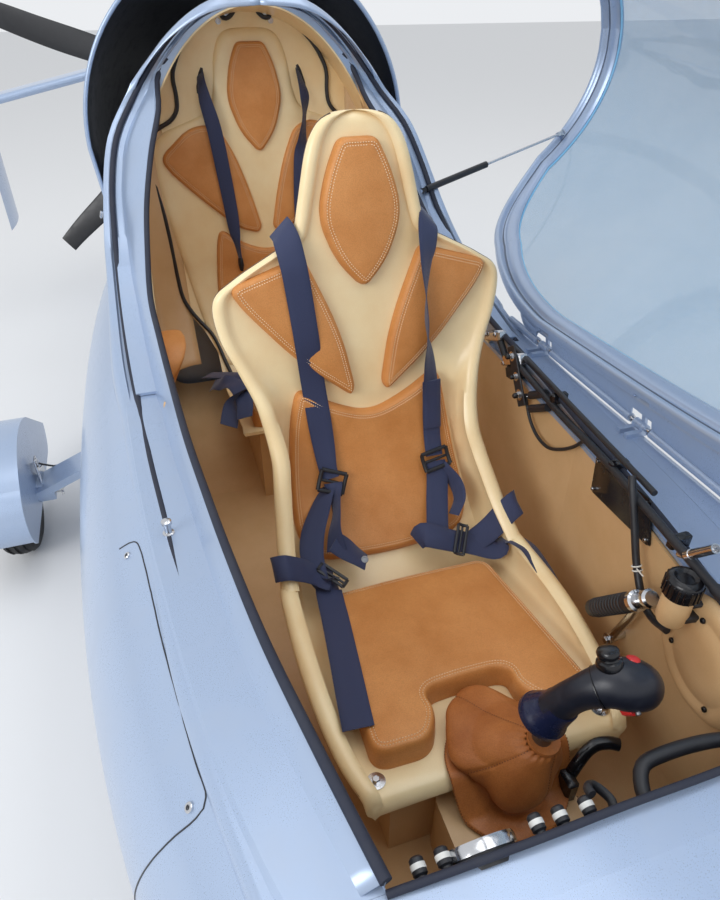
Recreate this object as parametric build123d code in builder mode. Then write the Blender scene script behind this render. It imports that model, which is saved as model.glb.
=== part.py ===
from build123d import *
from math import cos, radians, sin
import os

os.makedirs("parts", exist_ok=True)

# Enclosed two-seat tandem gyrocopter. Millimetres, +X to the nose, +Y to port, +Z up.
# The origin lies on the ground straight under the centre of the rotor hub.

# Overall places
sill_z = 890.0
nose_x = 2660.0
deck_x = 1980.0
deck_lip = 30.0
canopy_front_x = 2280.0
arch_x = 280.0
hull_wall = 8.0
bay_x = 180.0
firewall = 8.0
panel_gap = 2.0
soft_gap = 0.4
shell_gap = 0.3
pin_play = 0.05
clearance = 6.0

# Wheels and gear
tyre_radius = 200.0
tyre_width = 100.0
rim_radius = 105.0
rim_width = 84.0
axle_radius = 12.0
tow_bore = 8.0
main_x = 260.0
main_y = 920.0
nose_wheel_x = 2080.0
leg_width = 110.0
leg_thickness = 28.0
leg_root_y = 260.0
leg_root_z = 352.0

# Rotor
rotor_z = 2700.0
rotor_radius = 4250.0
blade_root = 340.0
blade_chord = 220.0
blade_thickness = 26.0
hub_bar_width = 90.0
hub_bar_height = 44.0
spindle_radius = 20.0

# Mast
mast_x = 60.0
mast_length = 130.0
mast_width = 60.0
mast_foot_z = 295.3
mast_wall = 5.0
mast_top_z = 2450.0

# Propeller
prop_x = -860.0
prop_z = 1220.0
prop_radius = 880.0
prop_hub_radius = 75.0
prop_hub_length = 90.0
first_blade = 10

# Tail
boom_width = 70.0
boom_height = 80.0
boom_wall = 4.0
skin = 3.0
boom_z = 255.0
boom_front_x = 125.0
boom_rear_x = -2200.0
fin_front_x = -1570.0
hinge_x = -1930.0
fin_rear_x = -2290.0
fin_thickness = 44.0
fin_top_z = 1290.0
tail_half_span = 1010.0
tail_drop = 210.0
tail_chord = 340.0
tail_thickness = 34.0
end_fin_low_z = 520.0
end_fin_thickness = 26.0

# Canopy
canopy_angle = 80.0
hinge_y = 462.0
hinge_z = 902.0
canopy_wall = 12.0
rim_depth = 70.0
rim_top_depth = 24.0
rim_wall = 6.0
glass_wall = 4.0
glass_inset = 3.0
frame_width = 68.0
cabin_reach = 700.0


def cross_plane(x):
    return Plane(origin=(x, 0, 0), x_dir=(0, 1, 0), z_dir=(1, 0, 0))


def side_plane(y):
    return Plane(origin=(0, y, 0), x_dir=(1, 0, 0), z_dir=(0, -1, 0))


# Hull stations: x, keel z, keel half width, waist z, waist half width, top z, top half width
HULL = [
    (-620, 560, 90, 760, 300, 890, 260),
    (-170, 390, 170, 640, 480, 890, 400),
    (330, 335, 220, 610, 565, 890, 455),
    (930, 330, 230, 600, 590, 890, 455),
    (1530, 370, 210, 600, 560, 890, 420),
    (2030, 450, 160, 620, 440, 890, 320),
    (2430, 520, 90, 660, 240, 830, 170),
    (2660, 620, 25, 680, 70, 740, 45),
]


def hull_solid(inset, top_inset):
    with BuildPart() as body:
        for x, z_keel, keel, z_waist, waist, z_top, top in HULL:
            with BuildSketch(cross_plane(x)):
                low, high = z_keel + inset, z_top - top_inset
                keel_in, waist_in, top_in = keel - inset * 0.6, waist - inset, top - inset
                with BuildLine():
                    Line((-keel_in, low), (keel_in, low))
                    ThreePointArc((keel_in, low), (waist_in, z_waist), (top_in, high))
                    Line((top_in, high), (-top_in, high))
                    ThreePointArc((-top_in, high), (-waist_in, z_waist), (-keel_in, low))
                make_face()
        loft()
    return body.part


# Cabin stations above the sill plane: x, half width, height
CABIN = [
    (-170, 385, 560),
    (280, 440, 670),
    (730, 440, 650),
    (1230, 418, 530),
    (1630, 385, 370),
    (1980, 310, 195),
    (2180, 190, 90),
    (2280, 60, 25),
]


def cabin_solid(inset, top_inset):
    with BuildPart() as body:
        for x, half, height in CABIN:
            side, rise = half - min(inset, half * 0.6), height - min(top_inset, height * 0.6)
            with BuildSketch(cross_plane(x)):
                with BuildLine():
                    Line((-side, sill_z), (side, sill_z))
                    EllipticalCenterArc((0, sill_z), side, rise, arc_size=180)
                make_face()
        loft()
    return body.part


# Side profile of the joint between canopy and cabin back
def canopy_region(shrink):
    back, low, front = arch_x + shrink, sill_z + panel_gap + shrink, canopy_front_x - shrink * 1.6
    bend = (580 + shrink * 0.5, 1025 + shrink * 0.9)
    with BuildPart() as region:
        with BuildSketch(Plane.XZ.offset(-cabin_reach)):
            with BuildLine():
                Line((back, 1700), (back, 1330))
                ThreePointArc((back, 1330), (375 + shrink * 0.8, 1170 + shrink * 0.6), bend)
                ThreePointArc(bend, (780, 945 + shrink), (1030, low))
                Polyline((1030, low), (front, low), (front, 1700), (back, 1700))
            make_face()
        extrude(amount=2 * cabin_reach)
    return region.part


with BuildPart() as hull_form:
    add(hull_solid(0, 0))
    with BuildSketch(Plane.XY.offset(sill_z)):
        Rectangle(6000, 2000)
    extrude(amount=200, mode=Mode.SUBTRACT)
hull_outer = hull_form.part
hull_inner = hull_solid(hull_wall, hull_wall)
cabin_outer = cabin_solid(0, 0)
cabin_inner = cabin_solid(canopy_wall, canopy_wall)
rim_hole = cabin_solid(rim_depth, rim_top_depth)


# Cockpit opening in the sill plane: x, half width
OPENING = [(190, 360), (730, 371), (1020, 360), (1380, 338), (1620, 315), (deck_x, 252)]


def opening_face(grow):
    with BuildSketch() as face:
        with BuildLine():
            right = [(x, half + grow) for x, half in OPENING]
            left = [(x, -half - grow) for x, half in reversed(OPENING)]
            Polyline(*right, *left, close=True)
        make_face()
    return face.sketch


# Steering head and canopy hinges
fork_x = nose_wheel_x + 30
stem_radius = 18.0
fork_crown_z = 410.0
knuckle_radius = 9.0
knuckle_pin = 4.0
HINGES = (1060.0, 1400.0)

# Hull: moulded skin, open over the cockpit, cut for the mast and the nose panel
with BuildPart() as hull:
    add(hull_outer)
    add(hull_inner, mode=Mode.SUBTRACT)
    with BuildSketch(Plane.XY.offset(fork_crown_z + 24)):
        with Locations((fork_x, 0)):
            Circle(34)
    extrude(amount=130)
    with BuildSketch(Plane.XY.offset(fork_crown_z)):
        with Locations((fork_x, 0)):
            Circle(stem_radius + pin_play)
    extrude(amount=200, mode=Mode.SUBTRACT)
    for x in HINGES:
        for offset_x in (-15.5, 5.5):
            with BuildSketch(cross_plane(x + offset_x)):
                with Locations((hinge_y, hinge_z)):
                    Circle(knuckle_radius)
                with Locations((hinge_y - 18, hinge_z - 9)):
                    Rectangle(44, 10)
            extrude(amount=10)
        with BuildSketch(cross_plane(x - 15.5)):
            with Locations((hinge_y, hinge_z)):
                Circle(knuckle_pin)
        extrude(amount=31)
    with BuildSketch(Plane.XY.offset(sill_z - 60)):
        add(opening_face(0))
    extrude(amount=120, mode=Mode.SUBTRACT)
    with BuildSketch(Plane.XY.offset(sill_z - deck_lip)):
        with Locations(((deck_x + nose_x) / 2 + 20, 0)):
            Rectangle(nose_x - deck_x + 40, 1200)
    extrude(amount=100, mode=Mode.SUBTRACT)
    with BuildSketch(cross_plane(bay_x)):
        Rectangle(3000, 3000)
    extrude(amount=-2000, mode=Mode.SUBTRACT)
hull.part.label = "hull"
export_step(hull.part, "parts/hull.step")

# Engine bay: the rear of the fuselage, closed at its front by the firewall
with BuildPart() as engine_bay:
    add(hull_outer)
    add(hull_inner, mode=Mode.SUBTRACT)
    with BuildSketch(cross_plane(bay_x - panel_gap)):
        Rectangle(3000, 3000)
    extrude(amount=4000, mode=Mode.SUBTRACT)
    with BuildSketch(cross_plane(bay_x - panel_gap)):
        Rectangle(3000, 3000)
    extrude(amount=-firewall)
    add(hull_outer, mode=Mode.INTERSECT)
    with BuildSketch(Plane.XY.offset(300)):
        with Locations((mast_x, 0)):
            Rectangle(mast_length + 2 * shell_gap, mast_width + 2 * shell_gap)
    extrude(amount=700, mode=Mode.SUBTRACT)
engine_bay.part.label = "engine_bay"
export_step(engine_bay.part, "parts/engine_bay.step")

# Nose deck: the top of the nose, a panel of its own
with BuildPart() as nose_deck:
    add(hull_outer)
    add(hull_inner, mode=Mode.SUBTRACT)
    with BuildSketch(Plane.XY.offset(sill_z - deck_lip + shell_gap)):
        with Locations(((deck_x + nose_x) / 2 + 20, 0)):
            Rectangle(nose_x - deck_x + 39.4, 1200)
    extrude(amount=100, mode=Mode.INTERSECT)
nose_deck.part.label = "nose_deck"
export_step(nose_deck.part, "parts/nose_deck.step")

# Gas strut: foot on the cabin back, head on the canopy arch, both in place with the canopy open
strut_foot = Vector(470, 386, 1106)
strut_head_shut = Vector(315, 245, 1398)
hinge_axis = Axis((0, hinge_y, hinge_z), (1, 0, 0))
strut_head = Vertex(*strut_head_shut).rotate(hinge_axis, -canopy_angle).center()
strut_dir = (strut_head - strut_foot).normalized()
strut_length = (strut_head - strut_foot).length
shut_dir = (strut_head_shut - strut_foot).normalized()
strut_axis = strut_dir.cross(shut_dir).normalized()
strut_pin = 4.0
ball_neck = 2.0
arm_radius = 5.0
eye_half = 4.0
pin_offset = 12.0
neck_dir = strut_axis.rotate(Axis.X, -canopy_angle / 2)


def rod_between(start, end, radius):
    with BuildPart() as rod:
        with BuildSketch(Plane(origin=start, z_dir=end - start)):
            Circle(radius)
        extrude(amount=(end - start).length)
    return rod.part


# Cabin back: the fixed roof behind the canopy joint
with BuildPart() as cabin_back:
    add(cabin_outer)
    add(cabin_inner, mode=Mode.SUBTRACT)
    rim_slice = canopy_region(-panel_gap - rim_wall) - canopy_region(-panel_gap)
    add((cabin_outer - rim_hole) & rim_slice)
    add(canopy_region(-panel_gap), mode=Mode.SUBTRACT)
    with BuildSketch(Plane.XY.offset(sill_z)):
        with Locations((mast_x, 0)):
            Rectangle(mast_length + 2 * shell_gap, mast_width + 2 * shell_gap)
    extrude(amount=900, mode=Mode.SUBTRACT)
    with BuildSketch(Plane.XY.offset(sill_z - 1)):
        with Locations((1630, 0)):
            Rectangle(1300, 1400)
    extrude(amount=900, mode=Mode.SUBTRACT)
    pin_end = strut_foot - strut_axis * (pin_offset + 4)
    add(rod_between(strut_foot + strut_axis * 6, pin_end, strut_pin))
    add(rod_between(strut_foot - strut_axis * pin_offset, Vector(450, 412, 1083), arm_radius))
    add(hull.part, mode=Mode.SUBTRACT)
    add(engine_bay.part, mode=Mode.SUBTRACT)
cabin_back.part.label = "cabin_back"
export_step(cabin_back.part, "parts/cabin_back.step")

# Cockpit liner stations: x, half width, floor z
liner_wall = 5.0
LINER = [(200, 372, 470), (730, 383, 400), (1380, 350, 420), (deck_x - 4, 262, 480)]
liner_top = sill_z - hull_wall - shell_gap


def liner_solid(inset, rise):
    with BuildPart() as tub:
        for x, half, floor in LINER:
            with BuildSketch(cross_plane(x)):
                side, low, radius = half - inset, floor + inset, 80 - inset
                with BuildLine():
                    Line((-side + radius, low), (side - radius, low))
                    RadiusArc((side - radius, low), (side, low + radius), -radius)
                    Line((side, low + radius), (side, liner_top + rise))
                    Line((side, liner_top + rise), (-side, liner_top + rise))
                    Line((-side, liner_top + rise), (-side, low + radius))
                    RadiusArc((-side, low + radius), (-side + radius, low), -radius)
                make_face()
        loft(ruled=True)
    return tub.part


# Seats, side view: top of the back, foot of the straight back, middle and end of the bend, front edge
seat_wall = 8.0
seat_reach = 400.0
SEATS = {
    "front": ((1095, 1395), (1170, 930), (1240, 730), (1390, 612), (1795, 660)),
    "rear": ((140, 1515), (218, 900), (280, 700), (440, 572), (820, 650)),
}

# Boxes on the floor: name, from x, to x, half width
BOXES = [("front", 1420, 1774, 165), ("rear", 470, 780, 165)]
stick_x = 1860.0
pedestal_z = 600.0
pedestal_length = 190.0
pedestal_width = 200.0

with BuildPart() as cockpit_liner:
    for name, from_x, to_x, half in BOXES:
        end, front = SEATS[name][3], SEATS[name][4]
        slope = (front[1] - end[1]) / (front[0] - end[0])
        with BuildSketch(Plane.XZ.offset(-half)):
            with BuildLine():
                drop = seat_wall * 1.03 + shell_gap
                left = (from_x, end[1] + slope * (from_x - end[0]) - drop)
                right = (to_x, end[1] + slope * (to_x - end[0]) - drop)
                Polyline((from_x, 300), (to_x, 300), right, left, close=True)
            make_face()
        extrude(amount=2 * half)
    with BuildSketch(Plane.XY.offset(300)):
        with Locations((stick_x, 0)):
            RectangleRounded(pedestal_length, pedestal_width, 30)
    extrude(amount=pedestal_z - 300)
    for name, from_x, to_x, half in BOXES:
        with BuildSketch(Plane.XY.offset(280)):
            with Locations(((from_x + to_x) / 2, 0)):
                Rectangle(to_x - from_x - 12, 2 * half - 12)
        extrude(amount=SEATS[name][3][1] - 280 - 40, mode=Mode.SUBTRACT)
    add(liner_solid(0, 0), mode=Mode.INTERSECT)
    add(liner_solid(0, 0) - liner_solid(liner_wall, 5))
    add(hull.part, mode=Mode.SUBTRACT)
cockpit_liner.part.label = "cockpit_liner"
export_step(cockpit_liner.part, "parts/cockpit_liner.step")


# The seats' curve seen from the side, from the head to the front edge
def seat_curve(name):
    top, foot, middle, end, front = SEATS[name]
    with BuildLine() as curve:
        Line(top, foot)
        ThreePointArc(foot, middle, end)
        Line(end, front)
    return curve.wire()


# A layer of the seat between two heights over its front face
def seat_layer(name, low, high, half):
    with BuildPart() as layer:
        with BuildSketch(Plane.XZ.offset(-half)):
            for height, mode in ((high, Mode.ADD), (low, Mode.SUBTRACT)):
                if height != 0:
                    with BuildLine():
                        add(seat_curve(name))
                        offset(amount=abs(height), side=Side.LEFT if height > 0 else Side.RIGHT)
                    make_face(mode=mode)
        extrude(amount=2 * half)
    return layer.part


# Back pads: seat, name, outline as half widths and heights, mirrored or not
pad_thickness = 24.0
WING = [(104, 1197), (122, 1203), (243, 1152), (240, 1132), (42, 934), (28, 948)]
BACK_PADS = [
    ("front", "head_pad", [(34, 1373), (77, 1253), (5, 1130)], True),
    ("front", "back_pad", [(0, 892), (126, 966), (146, 958), (182, 668), (176, 648)], True),
    ("front", "wing_pad_left", WING, False),
    ("front", "wing_pad_right", [(-y, z) for y, z in WING], False),
    ("rear", "head_pad", [(40, 1448), (78, 1318), (5, 1176)], True),
    ("rear", "back_pad", [(0, 910), (126, 976), (146, 968), (178, 640), (172, 620)], True),
]


def back_pad_form(seat_name, points, mirrored, low, high, grow):
    bend_x = (SEATS[seat_name][2][0] + SEATS[seat_name][3][0]) / 2 + 40
    outline = list(points)
    if mirrored:
        outline += [(-y, z) for y, z in reversed(points) if y != 0]
    with BuildPart() as form:
        add(seat_layer(seat_name, low, high, seat_reach))
        with BuildSketch(Plane.YZ.offset(-seat_reach)):
            Polygon(*outline, align=None)
            fillet(vertices(), 4)
            offset(amount=grow)
        extrude(amount=seat_reach + bend_x, mode=Mode.INTERSECT)
    return form.part


# Seat cushions: rear edge x, front edge x, rear half width, front half width
notch_half = 82.0
notch_depth = 84.0
cushion_thickness = 46.0
CUSHIONS = {"front": (1404, 1752, 168, 184), "rear": (450, 800, 160, 180)}


def cushion_form(seat_name, low, grow):
    rear_x, front_x, rear_half, front_half = CUSHIONS[seat_name]
    with BuildPart() as form:
        add(seat_layer(seat_name, low, cushion_thickness, seat_reach))
        with BuildSketch(Plane.XY.offset(400)):
            rear_corners = [(rear_x, rear_half), (rear_x, -rear_half)]
            Polygon(*rear_corners, (front_x, -front_half), (front_x, front_half), align=None)
            fillet(vertices(), 30)
            if seat_name == "front":
                with Locations((front_x, 0)):
                    RectangleRounded(2 * notch_depth, 2 * notch_half, 35, mode=Mode.SUBTRACT)
            offset(amount=grow)
        extrude(amount=600, mode=Mode.INTERSECT)
    return form.part


# Front shell stations: share of the curve's length, flat half width, edge half width, rise of the edge
SHELL = [
    (0.000, 46, 62, 4),
    (0.045, 66, 90, 6),
    (0.110, 84, 124, 1),
    (0.150, 110, 160, 1),
    (0.205, 200, 262, 1),
    (0.255, 200, 260, 1),
    (0.310, 172, 234, 12),
    (0.360, 164, 212, 34),
    (0.430, 172, 202, 62),
    (0.485, 180, 208, 76),
    (0.540, 186, 216, 84),
    (0.600, 190, 224, 84),
    (0.645, 193, 230, 83),
    (0.682, 195, 233, 80),
    (0.740, 199, 238, 70),
    (0.820, 202, 240, 56),
    (0.890, 204, 235, 38),
    (0.950, 202, 224, 20),
    (1.000, 190, 204, 8),
]
side_view = Plane.XZ
with BuildPart() as front_seat_shell:
    for share, flat, edge, rise in SHELL:
        point = side_view.from_local_coords(seat_curve("front").position_at(share))
        along = side_view.from_local_coords(seat_curve("front").tangent_at(share))
        across = Plane(origin=point, x_dir=(0, 1, 0), z_dir=along)
        with BuildSketch(across):
            face_side = 1 if across.y_dir.X + across.y_dir.Z > 0 else -1
            upper = [(-edge, rise), (-flat, 0), (flat, 0), (edge, rise)]
            outer = edge + seat_wall
            lower = [(outer, rise), (flat, -seat_wall), (-flat, -seat_wall), (-outer, rise)]
            Polygon(*[(y, face_side * z) for y, z in upper + lower], align=None)
    loft(ruled=True)
    for seat_name, pad_name, points, mirrored in BACK_PADS:
        if seat_name == "front":
            add(back_pad_form(seat_name, points, mirrored, 0, pad_thickness, soft_gap), mode=Mode.SUBTRACT)
    add(cushion_form("front", 0, soft_gap), mode=Mode.SUBTRACT)
front_seat_shell.part.label = "front_seat_shell"
export_step(front_seat_shell.part, "parts/front_seat_shell.step")

# Rear shell: seat, bulkhead and cabin lining in one moulding
lining_wall = 4.0
rear_top, rear_foot = SEATS["rear"][0], SEATS["rear"][1]
rear_lean = (rear_foot[0] - rear_top[0]) / (rear_top[1] - rear_foot[1])
lining_outer = cabin_solid(rim_depth + shell_gap, rim_top_depth + shell_gap)
lining_inner = cabin_solid(rim_depth + shell_gap + lining_wall, rim_top_depth + shell_gap + lining_wall)

# Outline of the rear seat below the sill, seen from ahead: half width, height
REAR_SEAT = [(345, sill_z + 1), (330, 820), (235, 700), (205, 640), (205, 500)]
with BuildPart() as seat_outline:
    add(lining_outer)
    with BuildSketch(Plane.YZ.offset(-seat_reach)):
        Polygon(*REAR_SEAT, *[(-y, z) for y, z in reversed(REAR_SEAT)], align=None)
    extrude(amount=2400)
with BuildPart() as rear_seat_shell:
    add(lining_outer - lining_inner)
    with BuildSketch(side_plane(cabin_reach)):
        low_x = rear_top[0] + rear_lean * (rear_top[1] - sill_z) - seat_wall
        high_x = rear_top[0] - rear_lean * 200 - seat_wall
        Polygon((low_x, sill_z), (1100, sill_z), (1100, 1715), (high_x, 1715), align=None)
    extrude(amount=2 * cabin_reach, mode=Mode.INTERSECT)
    add(canopy_region(-panel_gap), mode=Mode.SUBTRACT)
    add(seat_layer("rear", 0, -seat_wall, seat_reach) & seat_outline.part)
    with BuildSketch(Plane.XY.offset(sill_z - 1)):
        with Locations((1630, 0)):
            Rectangle(1300, 1400)
    extrude(amount=900, mode=Mode.SUBTRACT)
    with BuildSketch(Plane.XY.offset(sill_z)):
        with Locations((mast_x, 0)):
            Rectangle(mast_length + 2 * shell_gap, mast_width + 2 * shell_gap)
    extrude(amount=900, mode=Mode.SUBTRACT)
    for other in (hull, engine_bay, cabin_back, cockpit_liner):
        add(other.part, mode=Mode.SUBTRACT)
rear_seat_shell.part.label = "rear_seat_shell"
export_step(rear_seat_shell.part, "parts/rear_seat_shell.step")


def mast_plate(x, y, length, width):
    with BuildSketch() as face:
        with Locations((x, y)):
            SlotOverall(length, width)
    return face.sketch


# Rotor head: roll pivot on the mast top, pitch pivot above it, spindle behind both
head_x = 75.0
roll_z = 2490.0
pitch_z = 2530.0
pin_radius = 8.0
roll_block_length = 58.0
roll_block_width = 40.0
cheek = 10.0
cheek_gap = 1.0
pitch_plate_z = 2552.0
pitch_plate_thickness = 18.0
tower_radius = 45.0
tower_low_z = 2576.0
tower_high_z = 2650.0
teeter_radius = 9.0

with BuildPart() as mast:
    with BuildSketch(Plane.XY.offset(mast_foot_z)):
        add(mast_plate(mast_x, 0, mast_length, mast_width))
    extrude(amount=mast_top_z - mast_foot_z)
    with BuildSketch(Plane.XY.offset(mast_foot_z)):
        add(mast_plate(mast_x, 0, mast_length - 2 * mast_wall, mast_width - 2 * mast_wall))
    extrude(amount=mast_top_z - mast_foot_z - 20, mode=Mode.SUBTRACT)
    cheek_x = roll_block_length / 2 + cheek_gap + cheek / 2
    with BuildSketch(Plane.XY.offset(mast_top_z)):
        with Locations((head_x - cheek_x, 0), (head_x + cheek_x, 0)):
            Rectangle(cheek, 44)
    extrude(amount=roll_z + 22 - mast_top_z)
    with BuildSketch(cross_plane(head_x - 60)):
        with Locations((0, roll_z)):
            Circle(pin_radius + pin_play)
    extrude(amount=120, mode=Mode.SUBTRACT)
mast.part.label = "mast"
export_step(mast.part, "parts/mast.step")

with BuildPart() as head_roll_block:
    with BuildSketch(Plane.XY.offset(roll_z - 22)):
        with Locations((head_x, 0)):
            Rectangle(roll_block_length, roll_block_width)
    extrude(amount=pitch_z - roll_z + 36)
    with BuildSketch(cross_plane(head_x - 46)):
        with Locations((0, roll_z)):
            Circle(pin_radius)
    extrude(amount=92)
    with BuildSketch(side_plane(40)):
        with Locations((head_x, pitch_z)):
            Circle(pin_radius + pin_play)
    extrude(amount=80, mode=Mode.SUBTRACT)
head_roll_block.part.label = "head_roll_block"
export_step(head_roll_block.part, "parts/head_roll_block.step")

with BuildPart() as head_pitch_bar:
    bar_y = roll_block_width / 2 + cheek_gap
    with BuildSketch(Plane.XY.offset(pitch_z - 14)):
        with Locations((head_x, bar_y + 4), (head_x, -bar_y - 4)):
            Rectangle(34, 8)
    extrude(amount=pitch_plate_z - pitch_z + 15)
    with BuildSketch(Plane.XY.offset(pitch_plate_z)):
        with Locations(((head_x + 40 - 50) / 2, 0)):
            Rectangle(head_x + 40 + 50, 2 * bar_y + 16)
    extrude(amount=pitch_plate_thickness)
    with BuildSketch(side_plane(30)):
        with Locations((head_x, pitch_z)):
            Circle(pin_radius)
    extrude(amount=60)
    with BuildSketch(Plane.XY.offset(pitch_plate_z)):
        Circle(spindle_radius)
    extrude(amount=tower_high_z - 8 - pitch_plate_z)
head_pitch_bar.part.label = "head_pitch_bar"
export_step(head_pitch_bar.part, "parts/head_pitch_bar.step")

with BuildPart() as rotor_tower:
    with BuildSketch(Plane.XY.offset(tower_low_z)):
        Circle(tower_radius)
        Circle(spindle_radius + pin_play, mode=Mode.SUBTRACT)
    extrude(amount=tower_high_z - tower_low_z - 4)
    with BuildSketch(Plane.XY.offset(tower_high_z - 6)):
        Circle(tower_radius)
    extrude(amount=6)
    with BuildSketch(Plane.XY.offset(tower_high_z - 6)):
        with Locations((0, hub_bar_width / 2 + cheek_gap + 5), (0, -hub_bar_width / 2 - cheek_gap - 5)):
            Rectangle(60, 10)
    extrude(amount=rotor_z + 22 - tower_high_z + 6)
    with BuildSketch(Plane.XY.offset(tower_high_z - 6)):
        Rectangle(60, hub_bar_width + 2 * cheek_gap + 20)
    extrude(amount=6)
    with BuildSketch(side_plane(70)):
        with Locations((0, rotor_z)):
            Circle(teeter_radius)
    extrude(amount=140)
rotor_tower.part.label = "rotor_tower"
export_step(rotor_tower.part, "parts/rotor_tower.step")

with BuildPart() as hub_bar:
    with BuildSketch(Plane.XY.offset(rotor_z - hub_bar_height / 2)):
        SlotOverall(2 * blade_root + 160, hub_bar_width)
    extrude(amount=hub_bar_height)
    with BuildSketch(side_plane(70)):
        with Locations((0, rotor_z)):
            Circle(teeter_radius + pin_play)
    extrude(amount=140, mode=Mode.SUBTRACT)
    with BuildSketch(Plane.XY.offset(rotor_z - blade_thickness / 2 - 0.3)):
        with Locations((blade_root + 100, 0), (-blade_root - 100, 0)):
            Rectangle(200, 300)
    extrude(amount=blade_thickness + 0.6, mode=Mode.SUBTRACT)
hub_bar.part.label = "hub_bar"
export_step(hub_bar.part, "parts/hub_bar.step")


def blade_section(chord, thickness):
    with BuildSketch() as face:
        with BuildLine():
            nose, tail = (chord * 0.28, 0), (-chord * 0.72, 0)
            ThreePointArc(tail, (-chord * 0.05, thickness / 2), (chord * 0.2, thickness * 0.36))
            ThreePointArc((chord * 0.2, thickness * 0.36), nose, (chord * 0.2, -thickness * 0.36))
            ThreePointArc((chord * 0.2, -thickness * 0.36), (-chord * 0.05, -thickness / 2), tail)
        make_face()
    return face.sketch


for blade_name, sign in (("rotor_blade_front", 1), ("rotor_blade_rear", -1)):
    blade_plane = Plane(origin=(sign * blade_root, 0, rotor_z), x_dir=(0, sign, 0), z_dir=(sign, 0, 0))
    with BuildPart() as rotor_blade:
        with BuildSketch(blade_plane):
            add(blade_section(blade_chord, blade_thickness))
        extrude(amount=rotor_radius - blade_root)
        with BuildSketch(blade_plane.offset(200)):
            add(blade_section(blade_chord - 40, blade_thickness - 7))
        extrude(amount=rotor_radius - blade_root - 206, mode=Mode.SUBTRACT)
        with BuildSketch(blade_plane):
            Circle(5)
        extrude(amount=300, mode=Mode.SUBTRACT)
    rotor_blade.part.label = blade_name
    export_step(rotor_blade.part, "parts/" + blade_name + ".step")

# Engine cowl stations: x, half width at the sill, shoulder half width, shoulder z, top z
cowl_wall = 6.0
COWL = [
    (-690, 150, 165, 1080, 1310),
    (-370, 335, 350, 1130, 1480),
    (-70, 418, 440, 1180, 1610),
    (60, 428, 454, 1195, 1658),
    (110, 432, 464, 1200, 1672),
]


def cowl_solid(inset):
    with BuildPart() as body:
        for x, foot, shoulder, shoulder_z, top_z in COWL:
            with BuildSketch(cross_plane(x)):
                with BuildLine():
                    low, side = foot - inset, shoulder - inset
                    Polyline((-side, shoulder_z), (-low, sill_z), (low, sill_z), (side, shoulder_z))
                    EllipticalCenterArc((0, shoulder_z), side, top_z - inset - shoulder_z, arc_size=180)
                make_face()
        loft()
    return body.part


with BuildPart() as engine_cowl:
    add(cowl_solid(0))
    add(cowl_solid(cowl_wall), mode=Mode.SUBTRACT)
    with BuildSketch(Plane.XY.offset(sill_z)):
        with Locations((mast_x, 0)):
            Rectangle(mast_length + 2 * shell_gap, mast_width + 2 * shell_gap)
    extrude(amount=900, mode=Mode.SUBTRACT)
    for other in (hull, engine_bay, cabin_back):
        add(other.part, mode=Mode.SUBTRACT)
engine_cowl.part.label = "engine_cowl"
export_step(engine_cowl.part, "parts/engine_cowl.step")

# Engine: one plain block with its gearbox and shaft
shaft_radius = 20.0
with BuildPart() as engine:
    with BuildSketch(Plane.XY.offset(sill_z + shell_gap)):
        with Locations((-355, 0)):
            Rectangle(310, 330)
    extrude(amount=340)
    with BuildSketch(cross_plane(prop_x + prop_hub_length / 2 + 8)):
        with Locations((0, prop_z)):
            Circle(70)
    extrude(amount=-210 - prop_x - prop_hub_length / 2 - 8)
    with BuildSketch(cross_plane(prop_x - prop_hub_length / 2 + 10)):
        with Locations((0, prop_z)):
            Circle(shaft_radius)
    extrude(amount=160)
engine.part.label = "engine"
export_step(engine.part, "parts/engine.step")

# Propeller: hub and six twisted blades
with BuildPart() as prop_hub:
    with BuildSketch(cross_plane(prop_x - prop_hub_length / 2)):
        with Locations((0, prop_z)):
            Circle(prop_hub_radius)
            Circle(shaft_radius + pin_play, mode=Mode.SUBTRACT)
    extrude(amount=prop_hub_length)

# Blade stations: radius, chord, thickness, angle to the disc
PROP_BLADE = [
    (prop_hub_radius - 3, 48, 36, 62),
    (190, 84, 22, 44),
    (420, 100, 15, 29),
    (700, 88, 11, 20),
    (prop_radius, 70, 8, 15),
]
with BuildPart() as prop_blade:
    for radius, chord, thickness, angle in PROP_BLADE:
        turn = radians(angle)
        station = Plane(origin=(0, 0, radius), x_dir=(-sin(turn), cos(turn), 0), z_dir=(0, 0, 1))
        with BuildSketch(station):
            Ellipse(chord / 2, thickness / 2)
    loft()
with BuildPart() as propeller:
    add(prop_hub.part)
    for angle in range(first_blade, first_blade + 360, 60):
        add(prop_blade.part.rotate(Axis.X, angle).moved(Location((prop_x, 0, prop_z))))
propeller.part.label = "propeller"
export_step(propeller.part, "parts/propeller.step")

# Tail boom, fin, rudder and stabilizer
with BuildPart() as tail_boom:
    with BuildSketch(cross_plane(boom_rear_x)):
        with Locations((0, boom_z)):
            RectangleRounded(boom_width, boom_height, 8)
            offset(amount=-boom_wall, mode=Mode.SUBTRACT)
    extrude(amount=boom_front_x - boom_rear_x)
tail_boom.part.label = "tail_boom"
export_step(tail_boom.part, "parts/tail_boom.step")

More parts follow.
